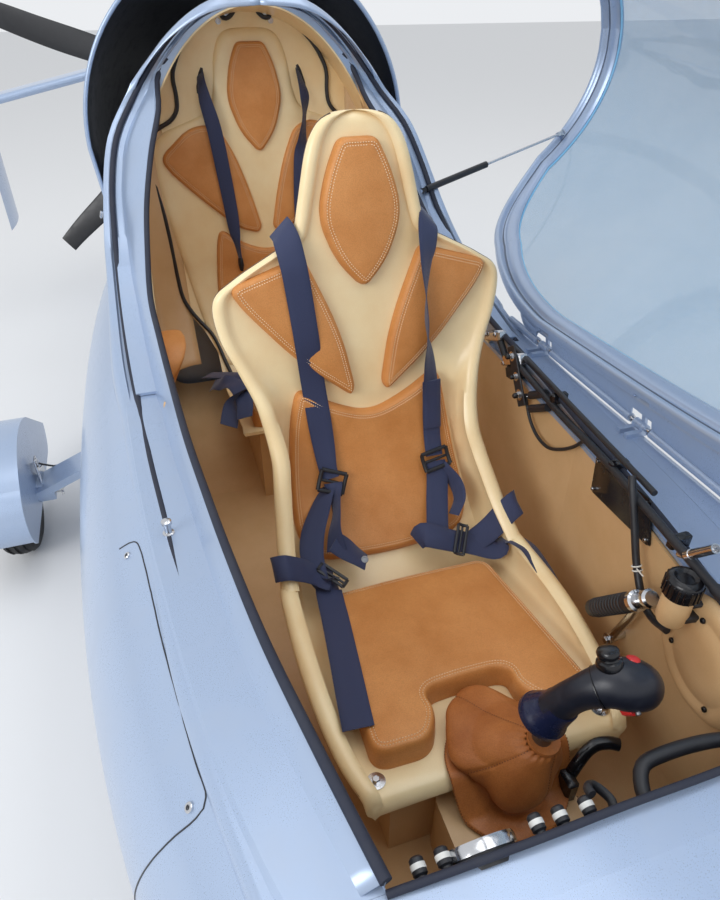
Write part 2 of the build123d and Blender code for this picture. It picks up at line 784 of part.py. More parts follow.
boom_top_z = boom_z + boom_height / 2
rudder_gap = 4.0
rudder_pin = 6.0
with BuildPart() as fin:
    with BuildSketch(Plane.XY.offset(boom_top_z + 0.3)):
        with BuildLine():
            rear, half = hinge_x + 30, fin_thickness / 2
            middle = (rear + fin_front_x) / 2 + 60
            Line((rear, -half), (rear, half))
            ThreePointArc((rear, half), (middle, half * 0.8), (fin_front_x, 0))
            ThreePointArc((fin_front_x, 0), (middle, -half * 0.8), (rear, -half))
        make_face()
    extrude(amount=fin_top_z - boom_top_z - 0.3)
    with BuildSketch(Plane.XY.offset(boom_top_z + 0.3)):
        with BuildLine():
            rear = hinge_x + 30 + skin
            front, half = fin_front_x - 40, fin_thickness / 2 - skin
            Line((rear, -half), (rear, half))
            ThreePointArc((rear, half), ((rear + front) / 2 + 40, half * 0.8), (front, 2))
            Line((front, 2), (front, -2))
            ThreePointArc((front, -2), ((rear + front) / 2 + 40, -half * 0.8), (rear, -half))
        make_face()
    extrude(amount=fin_top_z - boom_top_z - 6, mode=Mode.SUBTRACT)
    for z in (boom_top_z + 40, fin_top_z - 110):
        with BuildSketch(Plane.XY.offset(z)):
            with Locations((hinge_x + 15, 0)):
                Rectangle(32, 12)
            with Locations((hinge_x, 0)):
                Circle(14)
        extrude(amount=12)
        with BuildSketch(Plane.XY.offset(z - 20)):
            with Locations((hinge_x, 0)):
                Circle(rudder_pin)
        extrude(amount=52)
fin.part.label = "fin"
export_step(fin.part, "parts/fin.step")

rudder_low_z = boom_top_z + 18
rudder_high_z = fin_top_z - 66
with BuildPart() as rudder:
    with BuildSketch(Plane.XY.offset(rudder_low_z)):
        with BuildLine():
            half = fin_thickness / 2 - 2
            Line((fin_rear_x, -2), (fin_rear_x, 2))
            Line((fin_rear_x, 2), (hinge_x, half))
            ThreePointArc((hinge_x, half), (hinge_x + half, 0), (hinge_x, -half))
            Line((hinge_x, -half), (fin_rear_x, -2))
        make_face()
    extrude(amount=rudder_high_z - rudder_low_z)
    with BuildSketch(Plane.XY.offset(rudder_low_z + skin)):
        with BuildLine():
            half = fin_thickness / 2 - 2 - skin
            Line((fin_rear_x + 60, -2), (fin_rear_x + 60, 2))
            Line((fin_rear_x + 60, 2), (hinge_x, half))
            Line((hinge_x, half), (hinge_x, -half))
            Line((hinge_x, -half), (fin_rear_x + 60, -2))
        make_face()
    extrude(amount=rudder_high_z - rudder_low_z - 2 * skin, mode=Mode.SUBTRACT)
    for z in (boom_top_z + 40, fin_top_z - 110):
        with BuildSketch(Plane.XY.offset(z - 4)):
            with Locations((hinge_x, 0)):
                Rectangle(60, 60)
        extrude(amount=20, mode=Mode.SUBTRACT)
        with BuildSketch(Plane.XY.offset(z - 24)):
            with Locations((hinge_x, 0)):
                Circle(rudder_pin + pin_play)
        extrude(amount=60, mode=Mode.SUBTRACT)
rudder.part.label = "rudder"
export_step(rudder.part, "parts/rudder.step")

# Stabilizer: two drooping halves on the fin top, with an end fin hanging from each tip
stab_front_x = fin_front_x - 60


def wing_section(y, z, chord, thickness, x_front):
    with BuildSketch(Plane(origin=(x_front, y, z), x_dir=(-1, 0, 0), z_dir=(0, 1, 0))) as face:
        with BuildLine():
            nose, tail = (0, 0), (chord, 0)
            upper, lower = (chord * 0.1, thickness * 0.36), (chord * 0.1, -thickness * 0.36)
            ThreePointArc(lower, nose, upper)
            ThreePointArc(upper, (chord * 0.36, thickness / 2), tail)
            ThreePointArc(tail, (chord * 0.36, -thickness / 2), lower)
        make_face()
    return face.sketch


stab_z = fin_top_z + tail_thickness / 2 + shell_gap
tip_z = stab_z - tail_drop


def half_wing(root_y, tip_y, chord, thickness, x_front):
    with BuildPart() as wing:
        add(wing_section(root_y, stab_z, chord, thickness, x_front))
        add(wing_section(tip_y, tip_z, chord, thickness, x_front))
        loft(ruled=True)
    return wing.part


with BuildPart() as stabilizer:
    for side in (1, -1):
        add(half_wing(0, side * tail_half_span, tail_chord, tail_thickness, stab_front_x))
    for side in (1, -1):
        core_tip = side * (tail_half_span - 20)
        core_thickness = tail_thickness - 2 * skin - 4
        add(
            half_wing(side * 2, core_tip, tail_chord - 44, core_thickness, stab_front_x - 10),
            mode=Mode.SUBTRACT,
        )
    for side in (1, -1):
        with BuildSketch(Plane.XY.offset(tip_z + 10)):
            with BuildLine():
                y0, front, rear = side * tail_half_span, stab_front_x, stab_front_x - tail_chord
                bulge, half = (front + rear) / 2 + 50, end_fin_thickness / 2
                ThreePointArc((front, y0), (bulge, y0 + half), (rear, y0))
                ThreePointArc((rear, y0), (bulge, y0 - half), (front, y0))
            make_face()
        extrude(amount=-(tip_z + 10 - end_fin_low_z))
        with BuildSketch(Plane.XY.offset(tip_z - 20)):
            with BuildLine():
                y0, front, rear = side * tail_half_span, stab_front_x - 40, stab_front_x - tail_chord + 40
                half = end_fin_thickness / 2 - skin
                ThreePointArc((front, y0), ((front + rear) / 2 + 40, y0 + half), (rear, y0))
                ThreePointArc((rear, y0), ((front + rear) / 2 + 40, y0 - half), (front, y0))
            make_face()
        extrude(amount=-(tip_z - 20 - end_fin_low_z), mode=Mode.SUBTRACT)
    add(fin.part, mode=Mode.SUBTRACT)
stabilizer.part.label = "stabilizer"
export_step(stabilizer.part, "parts/stabilizer.step")

# Main gear: one bow under the hull with a block and stub axle at each end
axle_block = 60.0
block_y = main_y - tyre_width / 2 - 26
axle_length = main_y + rim_width / 2 + 4 - block_y + 10
with BuildPart() as main_leg:
    with BuildSketch(cross_plane(main_x - leg_width / 2)):
        with BuildLine():
            half_bow = [(block_y, 222), (640, 306), (leg_root_y, 346)]
            upper = half_bow + [(-y, z) for y, z in reversed(half_bow)]
            Polyline(*upper, *[(y, z - leg_thickness) for y, z in reversed(upper)], close=True)
        make_face()
    extrude(amount=leg_width)
    with BuildSketch(cross_plane(main_x - axle_block / 2)):
        with Locations((block_y - 25, tyre_radius), (-block_y + 25, tyre_radius)):
            Rectangle(50, axle_block)
    extrude(amount=axle_block)
    with BuildSketch(side_plane(block_y - 10)):
        with Locations((main_x, tyre_radius)):
            Circle(axle_radius)
    extrude(amount=-axle_length)
    with BuildSketch(side_plane(-block_y + 10)):
        with Locations((main_x, tyre_radius)):
            Circle(axle_radius)
    extrude(amount=axle_length)
    add(hull_outer, mode=Mode.SUBTRACT)
main_leg.part.label = "main_leg"
export_step(main_leg.part, "parts/main_leg.step")

# One wheel: tyre and rim about the Y axis
with BuildPart() as tyre:
    with BuildSketch(Plane.XZ):
        with BuildLine():
            half, crown = tyre_width / 2, tyre_radius
            bead = rim_width / 2
            Line((-bead + 4, rim_radius), (bead - 4, rim_radius))
            Line((bead - 4, rim_radius), (half, rim_radius + 38))
            ThreePointArc((half, rim_radius + 38), (half * 0.72, crown - 14), (0, crown))
            ThreePointArc((0, crown), (-half * 0.72, crown - 14), (-half, rim_radius + 38))
            Line((-half, rim_radius + 38), (-bead + 4, rim_radius))
        make_face()
    revolve(axis=Axis.X)
with BuildPart() as rim:
    with BuildSketch(Plane.XZ):
        with BuildLine():
            bore = axle_radius + pin_play
            bead = rim_width / 2
            edge = bead - 4
            right = [(edge, bore), (edge, 34), (12, 38), (12, 78), (edge, 92), (edge, rim_radius)]
            Polyline(*right, *[(-x, y) for x, y in reversed(right)], close=True)
        make_face()
    revolve(axis=Axis.X)

# Wheel places: name, x, y
WHEELS = [
    ("main_wheel_left", main_x, main_y),
    ("main_wheel_right", main_x, -main_y),
    ("nose_wheel", nose_wheel_x, 0),
]
for name, x, y in WHEELS:
    place = Location((x, y, tyre_radius), (0, 0, 90))
    for solid, suffix in ((tyre.part, "tyre"), (rim.part, "rim")):
        piece = solid.moved(place)
        piece.label = name.replace("wheel", suffix)
        export_step(piece, "parts/" + piece.label + ".step")

# Main wheel fairings, open below, each bolted to its axle block
fairing_wall = 5.0
fairing_width = 152.0


def fairing_profile(inset, low):
    toe, heel = (main_x + 215 - inset, low), (main_x - 300 + inset, low)
    brow, crest = (main_x + 200 - inset, 350 - inset), (main_x - 150, 395 - inset)
    tail = (main_x - 370 + inset * 2, 235)
    with BuildSketch() as face:
        with BuildLine():
            Line(heel, toe)
            ThreePointArc(toe, (main_x + 262 - inset, 235), brow)
            ThreePointArc(brow, (main_x + 40, 428 - inset), crest)
            Line(crest, tail)
            ThreePointArc(tail, (main_x - 352 + inset * 2, 185), heel)
        make_face()
    return face.sketch


for name, side in (("wheel_fairing_left", 1), ("wheel_fairing_right", -1)):
    start = side * main_y + fairing_width / 2
    with BuildPart() as wheel_fairing:
        with BuildSketch(side_plane(start)):
            add(fairing_profile(0, 150))
        extrude(amount=fairing_width)
        with BuildSketch(side_plane(start - fairing_wall)):
            add(fairing_profile(fairing_wall, 140))
        extrude(amount=fairing_width - 2 * fairing_wall, mode=Mode.SUBTRACT)
        with BuildSketch(side_plane(side * (main_y - 40) + 50)):
            with Locations((main_x, tyre_radius)):
                Circle(axle_radius + 3)
        extrude(amount=100, mode=Mode.SUBTRACT)
    wheel_fairing.part.label = name
    export_step(wheel_fairing.part, "parts/" + name + ".step")

# Nose fork: stem turning in the hull, crown and two legs
with BuildPart() as nose_fork:
    with BuildSketch(Plane.XY.offset(fork_crown_z)):
        with Locations(((fork_x + nose_wheel_x) / 2, 0)):
            Rectangle(110, 150)
    extrude(amount=18)
    with BuildSketch(Plane.XY.offset(tyre_radius - 30)):
        with Locations((nose_wheel_x, 70), (nose_wheel_x, -70)):
            Rectangle(50, 10)
    extrude(amount=fork_crown_z - tyre_radius + 30)
    with BuildSketch(side_plane(74)):
        with Locations((nose_wheel_x, tyre_radius)):
            Circle(axle_radius)
    extrude(amount=148)
    with BuildSketch(side_plane(80)):
        with Locations((nose_wheel_x, tyre_radius)):
            Circle(tow_bore)
    extrude(amount=160, mode=Mode.SUBTRACT)
    with BuildSketch(Plane.XY.offset(fork_crown_z + 18)):
        with Locations((fork_x, 0)):
            Circle(stem_radius)
    extrude(amount=150)
nose_fork.part.label = "nose_fork"
export_step(nose_fork.part, "parts/nose_fork.step")

# Instrument panel under the rear edge of the deck
with BuildPart() as instrument_panel:
    with BuildSketch(cross_plane(deck_x + 14)):
        with Locations((0, sill_z - 4 - 100)):
            RectangleRounded(440, 200, 30)
    extrude(amount=12)
    with BuildSketch(cross_plane(deck_x + 14)):
        with Locations((-60, sill_z - 100)):
            Circle(42)
    extrude(amount=-10)
    add(hull.part, mode=Mode.SUBTRACT)
    add(nose_deck.part, mode=Mode.SUBTRACT)
instrument_panel.part.label = "instrument_panel"
export_step(instrument_panel.part, "parts/instrument_panel.step")

# Control stick: boot on its pedestal, tube and grip
boot_radius = 62.0
boot_top_z = 740.0
stick_radius = 14.0
stick_y = 20.0
grip_low_z = 800.0
grip_length = 120.0
with BuildPart() as control_stick:
    with BuildSketch(Plane.XY.offset(pedestal_z + shell_gap)):
        with Locations((stick_x, 0)):
            Circle(boot_radius)
    with BuildSketch(Plane.XY.offset(boot_top_z)):
        with Locations((stick_x, stick_y)):
            Circle(stick_radius)
    loft()
    with BuildSketch(Plane.XY.offset(boot_top_z)):
        with Locations((stick_x, stick_y)):
            Circle(stick_radius)
    extrude(amount=grip_low_z - boot_top_z)
    with BuildSketch(Plane.XY.offset(grip_low_z)):
        with Locations((stick_x, stick_y)):
            Ellipse(24, 18)
    extrude(amount=grip_length)
control_stick.part.label = "control_stick"
export_step(control_stick.part, "parts/control_stick.step")

# Pads and cushions, each a little clear of its shell
for seat_name, pad_name, points, mirrored in BACK_PADS:
    pad = back_pad_form(seat_name, points, mirrored, soft_gap, pad_thickness, 0)
    pad.label = seat_name + "_" + pad_name
    export_step(pad, "parts/" + pad.label + ".step")
for seat_name in CUSHIONS:
    cushion = cushion_form(seat_name, soft_gap, 0)
    cushion.label = seat_name + "_cushion"
    export_step(cushion, "parts/" + cushion.label + ".step")

# Canopy: glazing in a moulded frame, modelled shut and swung open about the port sill
whole_region = canopy_region(clearance - panel_gap)
window_region = canopy_region(frame_width)
with BuildPart() as canopy_frame:
    add(cabin_outer)
    add(cabin_inner, mode=Mode.SUBTRACT)
    add(whole_region, mode=Mode.INTERSECT)
    add(window_region, mode=Mode.SUBTRACT)
    for x in HINGES:
        with BuildSketch(cross_plane(x - 22)):
            with Locations((hinge_y - 24, hinge_z)):
                Rectangle(80, 26)
        extrude(amount=44, mode=Mode.SUBTRACT)
        with BuildSketch(cross_plane(x - 5)):
            with Locations((hinge_y - 40, hinge_z + 7)):
                Rectangle(80, 6)
            with Locations((hinge_y - 58, hinge_z + 17)):
                Rectangle(44, 16)
            with Locations((hinge_y, hinge_z)):
                Circle(knuckle_radius)
        extrude(amount=10)
        with BuildSketch(cross_plane(x - 20)):
            with Locations((hinge_y, hinge_z)):
                Circle(knuckle_pin + pin_play)
        extrude(amount=40, mode=Mode.SUBTRACT)
    add(cabin_inner, mode=Mode.SUBTRACT)
wall_point = Vertex(300, 272, 1404).rotate(hinge_axis, -canopy_angle).center()
head_pin_start = strut_head - neck_dir * pin_offset
with BuildPart() as frame_open_form:
    add(canopy_frame.part.rotate(hinge_axis, -canopy_angle))
    with Locations(strut_head):
        Sphere(strut_pin)
    add(rod_between(strut_head, head_pin_start, ball_neck))
    add(rod_between(head_pin_start, wall_point, arm_radius))
frame_open = frame_open_form.part
frame_open.label = "canopy_frame"
export_step(frame_open, "parts/canopy_frame.step")

with BuildPart() as canopy_glass:
    add(cabin_solid(glass_inset, glass_inset))
    add(cabin_solid(glass_inset + glass_wall, glass_inset + glass_wall), mode=Mode.SUBTRACT)
    add(canopy_region(frame_width + shell_gap), mode=Mode.INTERSECT)
glass_open = canopy_glass.part.rotate(hinge_axis, -canopy_angle)
glass_open.label = "canopy_glass"
export_step(glass_open, "parts/canopy_glass.step")

# Gas strut cylinder and rod, each with an eye on its pin
cylinder_radius = 9.0
cylinder_length = 222.0
rod_radius = 4.0
eye_radius = 9.0


def eye_solid(center, reach):
    with BuildPart() as eye:
        with BuildSketch(Plane(origin=center - strut_axis * eye_half, z_dir=strut_axis, x_dir=strut_dir)):
            Circle(eye_radius)
            with Locations((reach / 2, 0)):
                Rectangle(abs(reach), 12)
            Circle(strut_pin + pin_play, mode=Mode.SUBTRACT)
        extrude(amount=2 * eye_half)
    return eye.part


with BuildPart() as strut_cylinder:
    with BuildSketch(Plane(origin=strut_foot + strut_dir * 22, z_dir=strut_dir)):
        Circle(cylinder_radius)
    extrude(amount=cylinder_length)
    with BuildSketch(Plane(origin=strut_foot + strut_dir * 32, z_dir=strut_dir)):
        Circle(rod_radius + 0.3)
    extrude(amount=cylinder_length, mode=Mode.SUBTRACT)
    add(eye_solid(strut_foot, 24))
strut_cylinder.part.label = "strut_cylinder"
export_step(strut_cylinder.part, "parts/strut_cylinder.step")
rod_length = 318.0
with BuildPart() as strut_rod:
    with BuildSketch(Plane(origin=strut_head - strut_dir * 20, z_dir=-strut_dir)):
        Circle(rod_radius)
    extrude(amount=rod_length - 20)
    add(eye_solid(strut_head, -24))
strut_rod.part.label = "strut_rod"
export_step(strut_rod.part, "parts/strut_rod.step")
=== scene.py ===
# %% [markdown]
# # An enclosed two-seat gyrocopter, dressed over its CAD frame
#
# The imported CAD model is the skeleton: hull, seats, wheels, rotor and joints already have their real
# sizes. This script loads it, gives every part its finish, and builds in mesh code what a solid shows
# badly, such as rolled seat shells, stitched leather, woven belts and rubber seals.

# %% Load the frame and remember its box
from math import acos, atan2, copysign, cos, dist, exp, hypot, pi, radians, sin, sqrt

import bmesh
import bpy
import numpy as np
from mathutils import Matrix, Vector
from mathutils.bvhtree import BVHTree
from mathutils.geometry import delaunay_2d_cdt


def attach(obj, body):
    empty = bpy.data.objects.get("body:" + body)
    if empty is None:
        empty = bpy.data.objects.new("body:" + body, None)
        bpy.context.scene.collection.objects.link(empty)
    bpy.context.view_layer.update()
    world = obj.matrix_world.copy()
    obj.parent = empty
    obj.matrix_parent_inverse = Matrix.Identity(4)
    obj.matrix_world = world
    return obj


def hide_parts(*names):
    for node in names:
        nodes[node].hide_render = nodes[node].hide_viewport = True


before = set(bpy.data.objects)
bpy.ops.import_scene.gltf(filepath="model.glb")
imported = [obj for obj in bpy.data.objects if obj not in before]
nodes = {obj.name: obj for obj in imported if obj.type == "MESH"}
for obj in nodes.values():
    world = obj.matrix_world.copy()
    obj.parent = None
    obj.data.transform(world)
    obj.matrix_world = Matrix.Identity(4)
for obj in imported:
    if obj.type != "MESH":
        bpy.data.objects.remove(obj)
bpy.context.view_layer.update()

# %% [markdown]
# ## Writing shaders as sums
#
# A finish is a small calculation: so much of one colour, roughened where the grain is deep. Blender's
# node editor draws that as boxes and wires, and for text it is clearer to write it as Python. The class
# below wraps one output socket, and its operators add the Math node that each sum needs.

# %% A socket that can be added, multiplied and mixed
class Flow:
    """One shader output. Python's operators on it add Math nodes to the same material."""

    def __init__(self, tree, socket):
        self.tree, self.socket = tree, socket

    def _sum(self, operation, first, second):
        step = self.tree.nodes.new("ShaderNodeMath")
        step.operation = operation
        for place, value in zip(step.inputs, (first, second)):
            if isinstance(value, Flow):
                self.tree.links.new(value.socket, place)
            else:
                place.default_value = float(value)
        return Flow(self.tree, step.outputs[0])

    def __add__(self, other): return self._sum("ADD", self, other)
    def __radd__(self, other): return self._sum("ADD", other, self)
    def __sub__(self, other): return self._sum("SUBTRACT", self, other)
    def __rsub__(self, other): return self._sum("SUBTRACT", other, self)
    def __mul__(self, other): return self._sum("MULTIPLY", self, other)
    def wave(self): return self._sum("SINE", self, 0)
    def largest(self, other): return self._sum("MAXIMUM", self, other)


# %% A finish: one material and the few nodes that it needs
def linear(red, green, blue):
    """A colour read off a screen, 0 to 255, as the shader wants it."""
    return tuple(((c / 255 + 0.055) / 1.055) ** 2.4 if c > 10 else c / 3300 for c in (red, green, blue)) + (1.0,)


class Finish:
    """A material that is being mixed. node() adds any node; paint() sets the shader's own sockets."""

    def __init__(self, name):
        self.material = bpy.data.materials.new(name)
        self.material.use_nodes = True
        self.tree = self.material.node_tree
        self.shader = next(n for n in self.tree.nodes if n.type == "BSDF_PRINCIPLED")

    def node(self, kind, settings=None, values=None, out=0):
        made = self.tree.nodes.new(kind)
        for key, value in (settings or {}).items():
            if key == "stops":
                ramp = made.color_ramp.elements
                while len(ramp) < len(value):
                    ramp.new(0.5)
                for stop, (place, colour) in zip(ramp, value):
                    stop.position, stop.color = place, colour
            else:
                setattr(made, key, value)
        for key, value in (values or {}).items():
            if isinstance(value, Flow):
                self.tree.links.new(value.socket, made.inputs[key])
            else:
                made.inputs[key].default_value = value
        return Flow(self.tree, made.outputs[out])

    def place(self, scale=(1, 1, 1), turn=(0, 0, 0)):
        """Where a point of the surface is, in metres on the object, stretched and turned if asked."""
        here = self.node("ShaderNodeTexCoord", out="Object")
        return self.node("ShaderNodeMapping", {}, {"Vector": here, "Scale": scale, "Rotation": turn})

    def noise(self, scale, detail=2.0, rough=0.5, stretch=(1, 1, 1), turn=(0, 0, 0)):
        return self.node("ShaderNodeTexNoise", {}, {"Vector": self.place(stretch, turn), "Scale": scale,
                                                    "Detail": detail, "Roughness": rough}, out="Fac")

    def blend(self, share, first, second):
        """A colour between two, by a share from 0 to 1."""
        return self.node("ShaderNodeMix", {"data_type": "RGBA"}, {0: share, 6: first, 7: second}, out=2)

    def span(self, value, low, high, start=0.0, end=1.0):
        """Stretches a value so that low..high becomes start..end, and cuts what lies outside."""
        return self.node("ShaderNodeMapRange", {}, {0: value, 1: low, 2: high, 3: start, 4: end})

    def relief(self, height, strength=0.3, depth=0.001, under=None):
        values = {"Height": height, "Strength": strength, "Distance": depth}
        if under is not None:
            values["Normal"] = under
        return self.node("ShaderNodeBump", {}, values)

    def paint(self, **sockets):
        for key, value in sockets.items():
            place = self.shader.inputs[key.replace("_", " ")]
            if isinstance(value, Flow):
                self.tree.links.new(value.socket, place)
            else:
                place.default_value = value
        return self.material


# %% [markdown]
# ## Finishes
#
# Each finish below starts from its plain colour and adds what the eye reads as that material: orange
# peel and dust on paint, a pebbled grain on leather, the weave of a belt. They all take their pattern
# from the place on the object, so nothing slides when the camera moves.

# %% Silver paint, pearl gelcoat and the tan liner
def shade(colour, by):
    """The same colour, darker."""
    return linear(*(int(c * by) for c in colour))


def silver_paint(name, light):
    """Paint with fine metal flakes, thin dust and a slight orange peel."""
    f = Finish(name)
    flake = f.noise(900, 1.0)
    cloud = f.noise(2.2, 3.0)
    dust = f.span(f.noise(9, 5.0, 0.65), 0.45, 0.8) * 0.5
    colour = f.blend(cloud * 0.35, linear(*light), shade(light, 0.93))
    colour = f.blend(dust * 0.25, colour, linear(190, 186, 176))
    return f.paint(Base_Color=colour, Metallic=0.4, Roughness=f.span(flake, 0.3, 0.7, 0.26, 0.36) + dust * 0.16,
                   Coat_Weight=0.35, Coat_Roughness=0.12, Normal=f.relief(f.noise(260, 2.0), 0.06, 0.0006))


def moulded(name, light, dark, shine=0.34, speck=0.25):
    """Gelcoat over fibre: a cloudy colour with a fine speckle, and a slight orange peel."""
    f = Finish(name)
    cloud = f.noise(5.5, 4.0, 0.6)
    grain = f.span(f.noise(1400, 1.0), 0.35, 0.65)
    colour = f.blend(f.span(cloud, 0.3, 0.7), linear(*light), linear(*dark))
    colour = f.blend(grain * speck, colour, shade(dark, 0.82))
    return f.paint(Base_Color=colour, Roughness=f.span(cloud, 0.3, 0.7, shine, shine + 0.12), Coat_Weight=0.2,
        Coat_Roughness=0.2, Normal=f.relief(f.noise(420, 2.0) + grain * 0.3, 0.12, 0.0006))


# %% Leather, webbing, rubber and moulded plastic
def leather(name, light, dark, wrinkle=0.0):
    """A pebbled grain over cloudy colour, with creases where the leather hangs loose."""
    f = Finish(name)
    pebble = f.node("ShaderNodeTexVoronoi", {"feature": "SMOOTH_F1"}, {"Vector": f.place(), "Scale": 620,
                                                                       "Smoothness": 0.6}, out="Distance")
    cloud = f.noise(14, 4.0, 0.6)
    creases = f.noise(55, 3.0, 0.7, stretch=(1, 1, 0.4)) * wrinkle
    height = pebble * 0.8 + f.noise(2200, 2.0) * 0.25 + creases * 6
    colour = f.blend(f.span(cloud, 0.3, 0.72), linear(*light), linear(*dark))
    colour = f.blend(f.span(pebble, 0.25, 0.7) * 0.22, colour, shade(dark, 0.7))
    return f.paint(Base_Color=colour, Roughness=f.span(cloud + pebble * 0.2, 0.3, 0.9, 0.4, 0.58),
                   Specular_IOR_Level=0.45, Normal=f.relief(height, 0.35, 0.0007))


def webbing(name, light, dark):
    """Seat-belt weave: twill ribs a millimetre apart, crossed by the weft."""
    f = Finish(name)
    along = f.node("ShaderNodeUVMap", {"uv_map": "weave"})
    split = f.node("ShaderNodeSeparateXYZ", {}, {0: along})
    across, run = split, Flow(f.tree, split.socket.node.outputs[1])
    rib = (across * 260.0 + (run * 900.0).wave() * 0.4).wave() * 0.5 + 0.5
    pick = (run * 2100.0 + across * 160).wave() * 0.5 + 0.5
    height = rib * 0.6 + pick * 0.4
    edge = f.span(f.node("ShaderNodeMath", {"operation": "ABSOLUTE"}, {0: across - 0.5}), 0.4, 0.5)
    # Colour follows the weave's height: ribs lighter and grooves darker, a painted highlight and painted shade
    colour = f.blend(height * 0.8, linear(*dark), linear(*light))
    colour = f.blend(edge * 0.5, colour, linear(*dark))
    return f.paint(Base_Color=colour, Roughness=0.62, Sheen_Weight=0.25, Sheen_Roughness=0.4,
                   Specular_IOR_Level=0.35, Normal=f.relief(height, 0.5, 0.0006))


def black_plastic(name, tone=(32, 33, 38), grain=0.35, shine=0.42):
    """Moulded plastic with a fine grain and paler scuffs."""
    f = Finish(name)
    scuff = f.span(f.noise(30, 5.0, 0.7), 0.5, 0.75)
    fine = f.noise(1500, 1.0)
    colour = f.blend(scuff * 0.3, linear(*tone), linear(*(c + 26 for c in tone)))
    return f.paint(Base_Color=colour, Roughness=f.span(scuff, 0, 1, shine, shine + 0.18),
                   Normal=f.relief(fine, grain, 0.0004))


def rubber(name, tone, worn):
    """Dull rubber, chalky where it is worn."""
    f = Finish(name)
    chalk = f.span(f.noise(22, 5.0, 0.7), 0.42, 0.8) * worn
    colour = f.blend(chalk, linear(*tone), linear(104, 102, 98))
    return f.paint(Base_Color=colour, Roughness=f.span(chalk, 0, 1, 0.62, 0.85), Specular_IOR_Level=0.3,
                   Normal=f.relief(f.noise(700, 3.0), 0.3, 0.0006))


# %% Bare metals and tinted acrylic
def metal(name, tone=(196, 198, 202), rough=0.28, brush=(1, 1, 30), grime=0.2):
    """Bare metal with brush marks and some grime."""
    f = Finish(name)
    streak = f.noise(180, 3.0, 0.6, stretch=brush)
    dirt = f.span(f.noise(24, 5.0, 0.7), 0.5, 0.8) * grime
    colour = f.blend(dirt, linear(*tone), linear(92, 84, 74))
    return f.paint(Base_Color=colour, Metallic=1.0 - dirt * 0.7,
        Roughness=f.span(streak, 0.3, 0.7, rough - 0.06, rough + 0.1) + dirt * 0.3,
        Normal=f.relief(streak, 0.08, 0.0005))


def acrylic(name, tint):
    """Blue tinted sheet: mostly clear, a little blue, with a sharp skin of reflection."""
    f = Finish(name)
    smear = f.noise(3.0, 4.0, 0.6)
    return f.paint(Base_Color=linear(*tint), Roughness=f.span(smear, 0.3, 0.8, 0.0, 0.05), IOR=1.49,
                   Alpha=f.span(smear, 0.2, 0.8, 0.34, 0.42), Coat_Weight=0.0, Specular_IOR_Level=0.9)


body_silver = silver_paint("body_silver", (166, 184, 211))
seat_pearl = moulded("seat_pearl", (252, 232, 186), (240, 208, 154), 0.3, 0.12)
liner_tan = moulded("liner_tan", (222, 186, 140), (206, 168, 120), 0.42, 0.25)
caramel = leather("caramel", (218, 150, 86), (200, 130, 66))
boot_leather = leather("boot_leather", (196, 124, 66), (168, 98, 48), 1.0)
navy_webbing = webbing("navy_webbing", (66, 76, 112), (38, 43, 70))
black_trim = rubber("black_trim", (44, 48, 62), 0.12)
tyre_black = rubber("tyre_black", (30, 31, 34), 0.35)
soft_black = black_plastic("soft_black")
gloss_black = black_plastic("gloss_black", (18, 18, 22), 0.05, 0.2)
prop_black = black_plastic("prop_black", (26, 27, 31), 0.15, 0.35)
alloy_bright = metal("alloy_bright")
steel_bright = metal("steel_bright", (206, 207, 210), 0.16, (1, 1, 1), 0.08)
engine_grey = metal("engine_grey", (128, 128, 130), 0.42, (1, 1, 1), 0.45)
tinted_acrylic = acrylic("tinted_acrylic", (122, 172, 206))
print("finishes:", len(bpy.data.materials))

# %% [markdown]
# ## Finishes onto the CAD parts
#
# Every solid from the frame gets the finish of its real counterpart. Some of them are replaced further
# down by a better mesh, and those still carry a finish, so a missing replacement is never bare.

# %% Which part wears what
WEARS = {
    body_silver: ("hull engine_bay nose_deck engine_cowl fin rudder stabilizer wheel_fairing_left "
                  "wheel_fairing_right canopy_frame tail_boom main_leg cabin_back", "body_paint"),
    liner_tan: ("cockpit_liner", "liner_paint"),
    seat_pearl: ("front_seat_shell rear_seat_shell", "seat_gelcoat"),
    caramel: ("front_head_pad front_back_pad front_wing_pad_left front_wing_pad_right front_cushion "
              "rear_head_pad rear_back_pad rear_cushion", "caramel_leather"),
    tinted_acrylic: ("canopy_glass", "acrylic"),
    alloy_bright: ("mast head_roll_block head_pitch_bar rotor_tower hub_bar rotor_blade_front "
                   "rotor_blade_rear main_rim_left main_rim_right nose_rim", "alloy"),
    tyre_black: ("main_tyre_left main_tyre_right nose_tyre", "tyre_rubber"),
    engine_grey: ("engine", "engine_metal"),
    steel_bright: ("strut_rod nose_fork", "bright_steel"),
    prop_black: ("propeller", "black_parts"),
    soft_black: ("instrument_panel control_stick strut_cylinder", "black_parts"),
}
SLOTS = {finish: slot for finish, (_, slot) in WEARS.items()}
SLOTS |= {boot_leather: "caramel_leather", navy_webbing: "black_parts", black_trim: "black_parts",
    gloss_black: "black_parts"}
for finish, (names, slot) in WEARS.items():
    for name in names.split():
        if name in nodes:
            nodes[name].data.materials.clear()
            nodes[name].data.materials.append(finish)
dressed = {n for names, _ in WEARS.values() for n in names.split()}
print("not dressed:", sorted(set(nodes) - dressed), "unknown:", sorted(dressed - set(nodes)))

# %% [markdown]
# ## Tools for shaping
#
# Most pieces below are either a form swept along a line (tubes, belts, seals), a row of cross-sections
# joined by faces (seat shells, the canopy's lip) or something turned on a lathe (bolts, knobs, rims).
# Modifiers could do some of it, and plain lists of points are easier to print, check and repeat.

# %% Smooth lines through measured points
def mm(rows):
    """Rows of millimetres, as rows of metres."""
    return [tuple(value / 1000 for value in row) for row in rows]


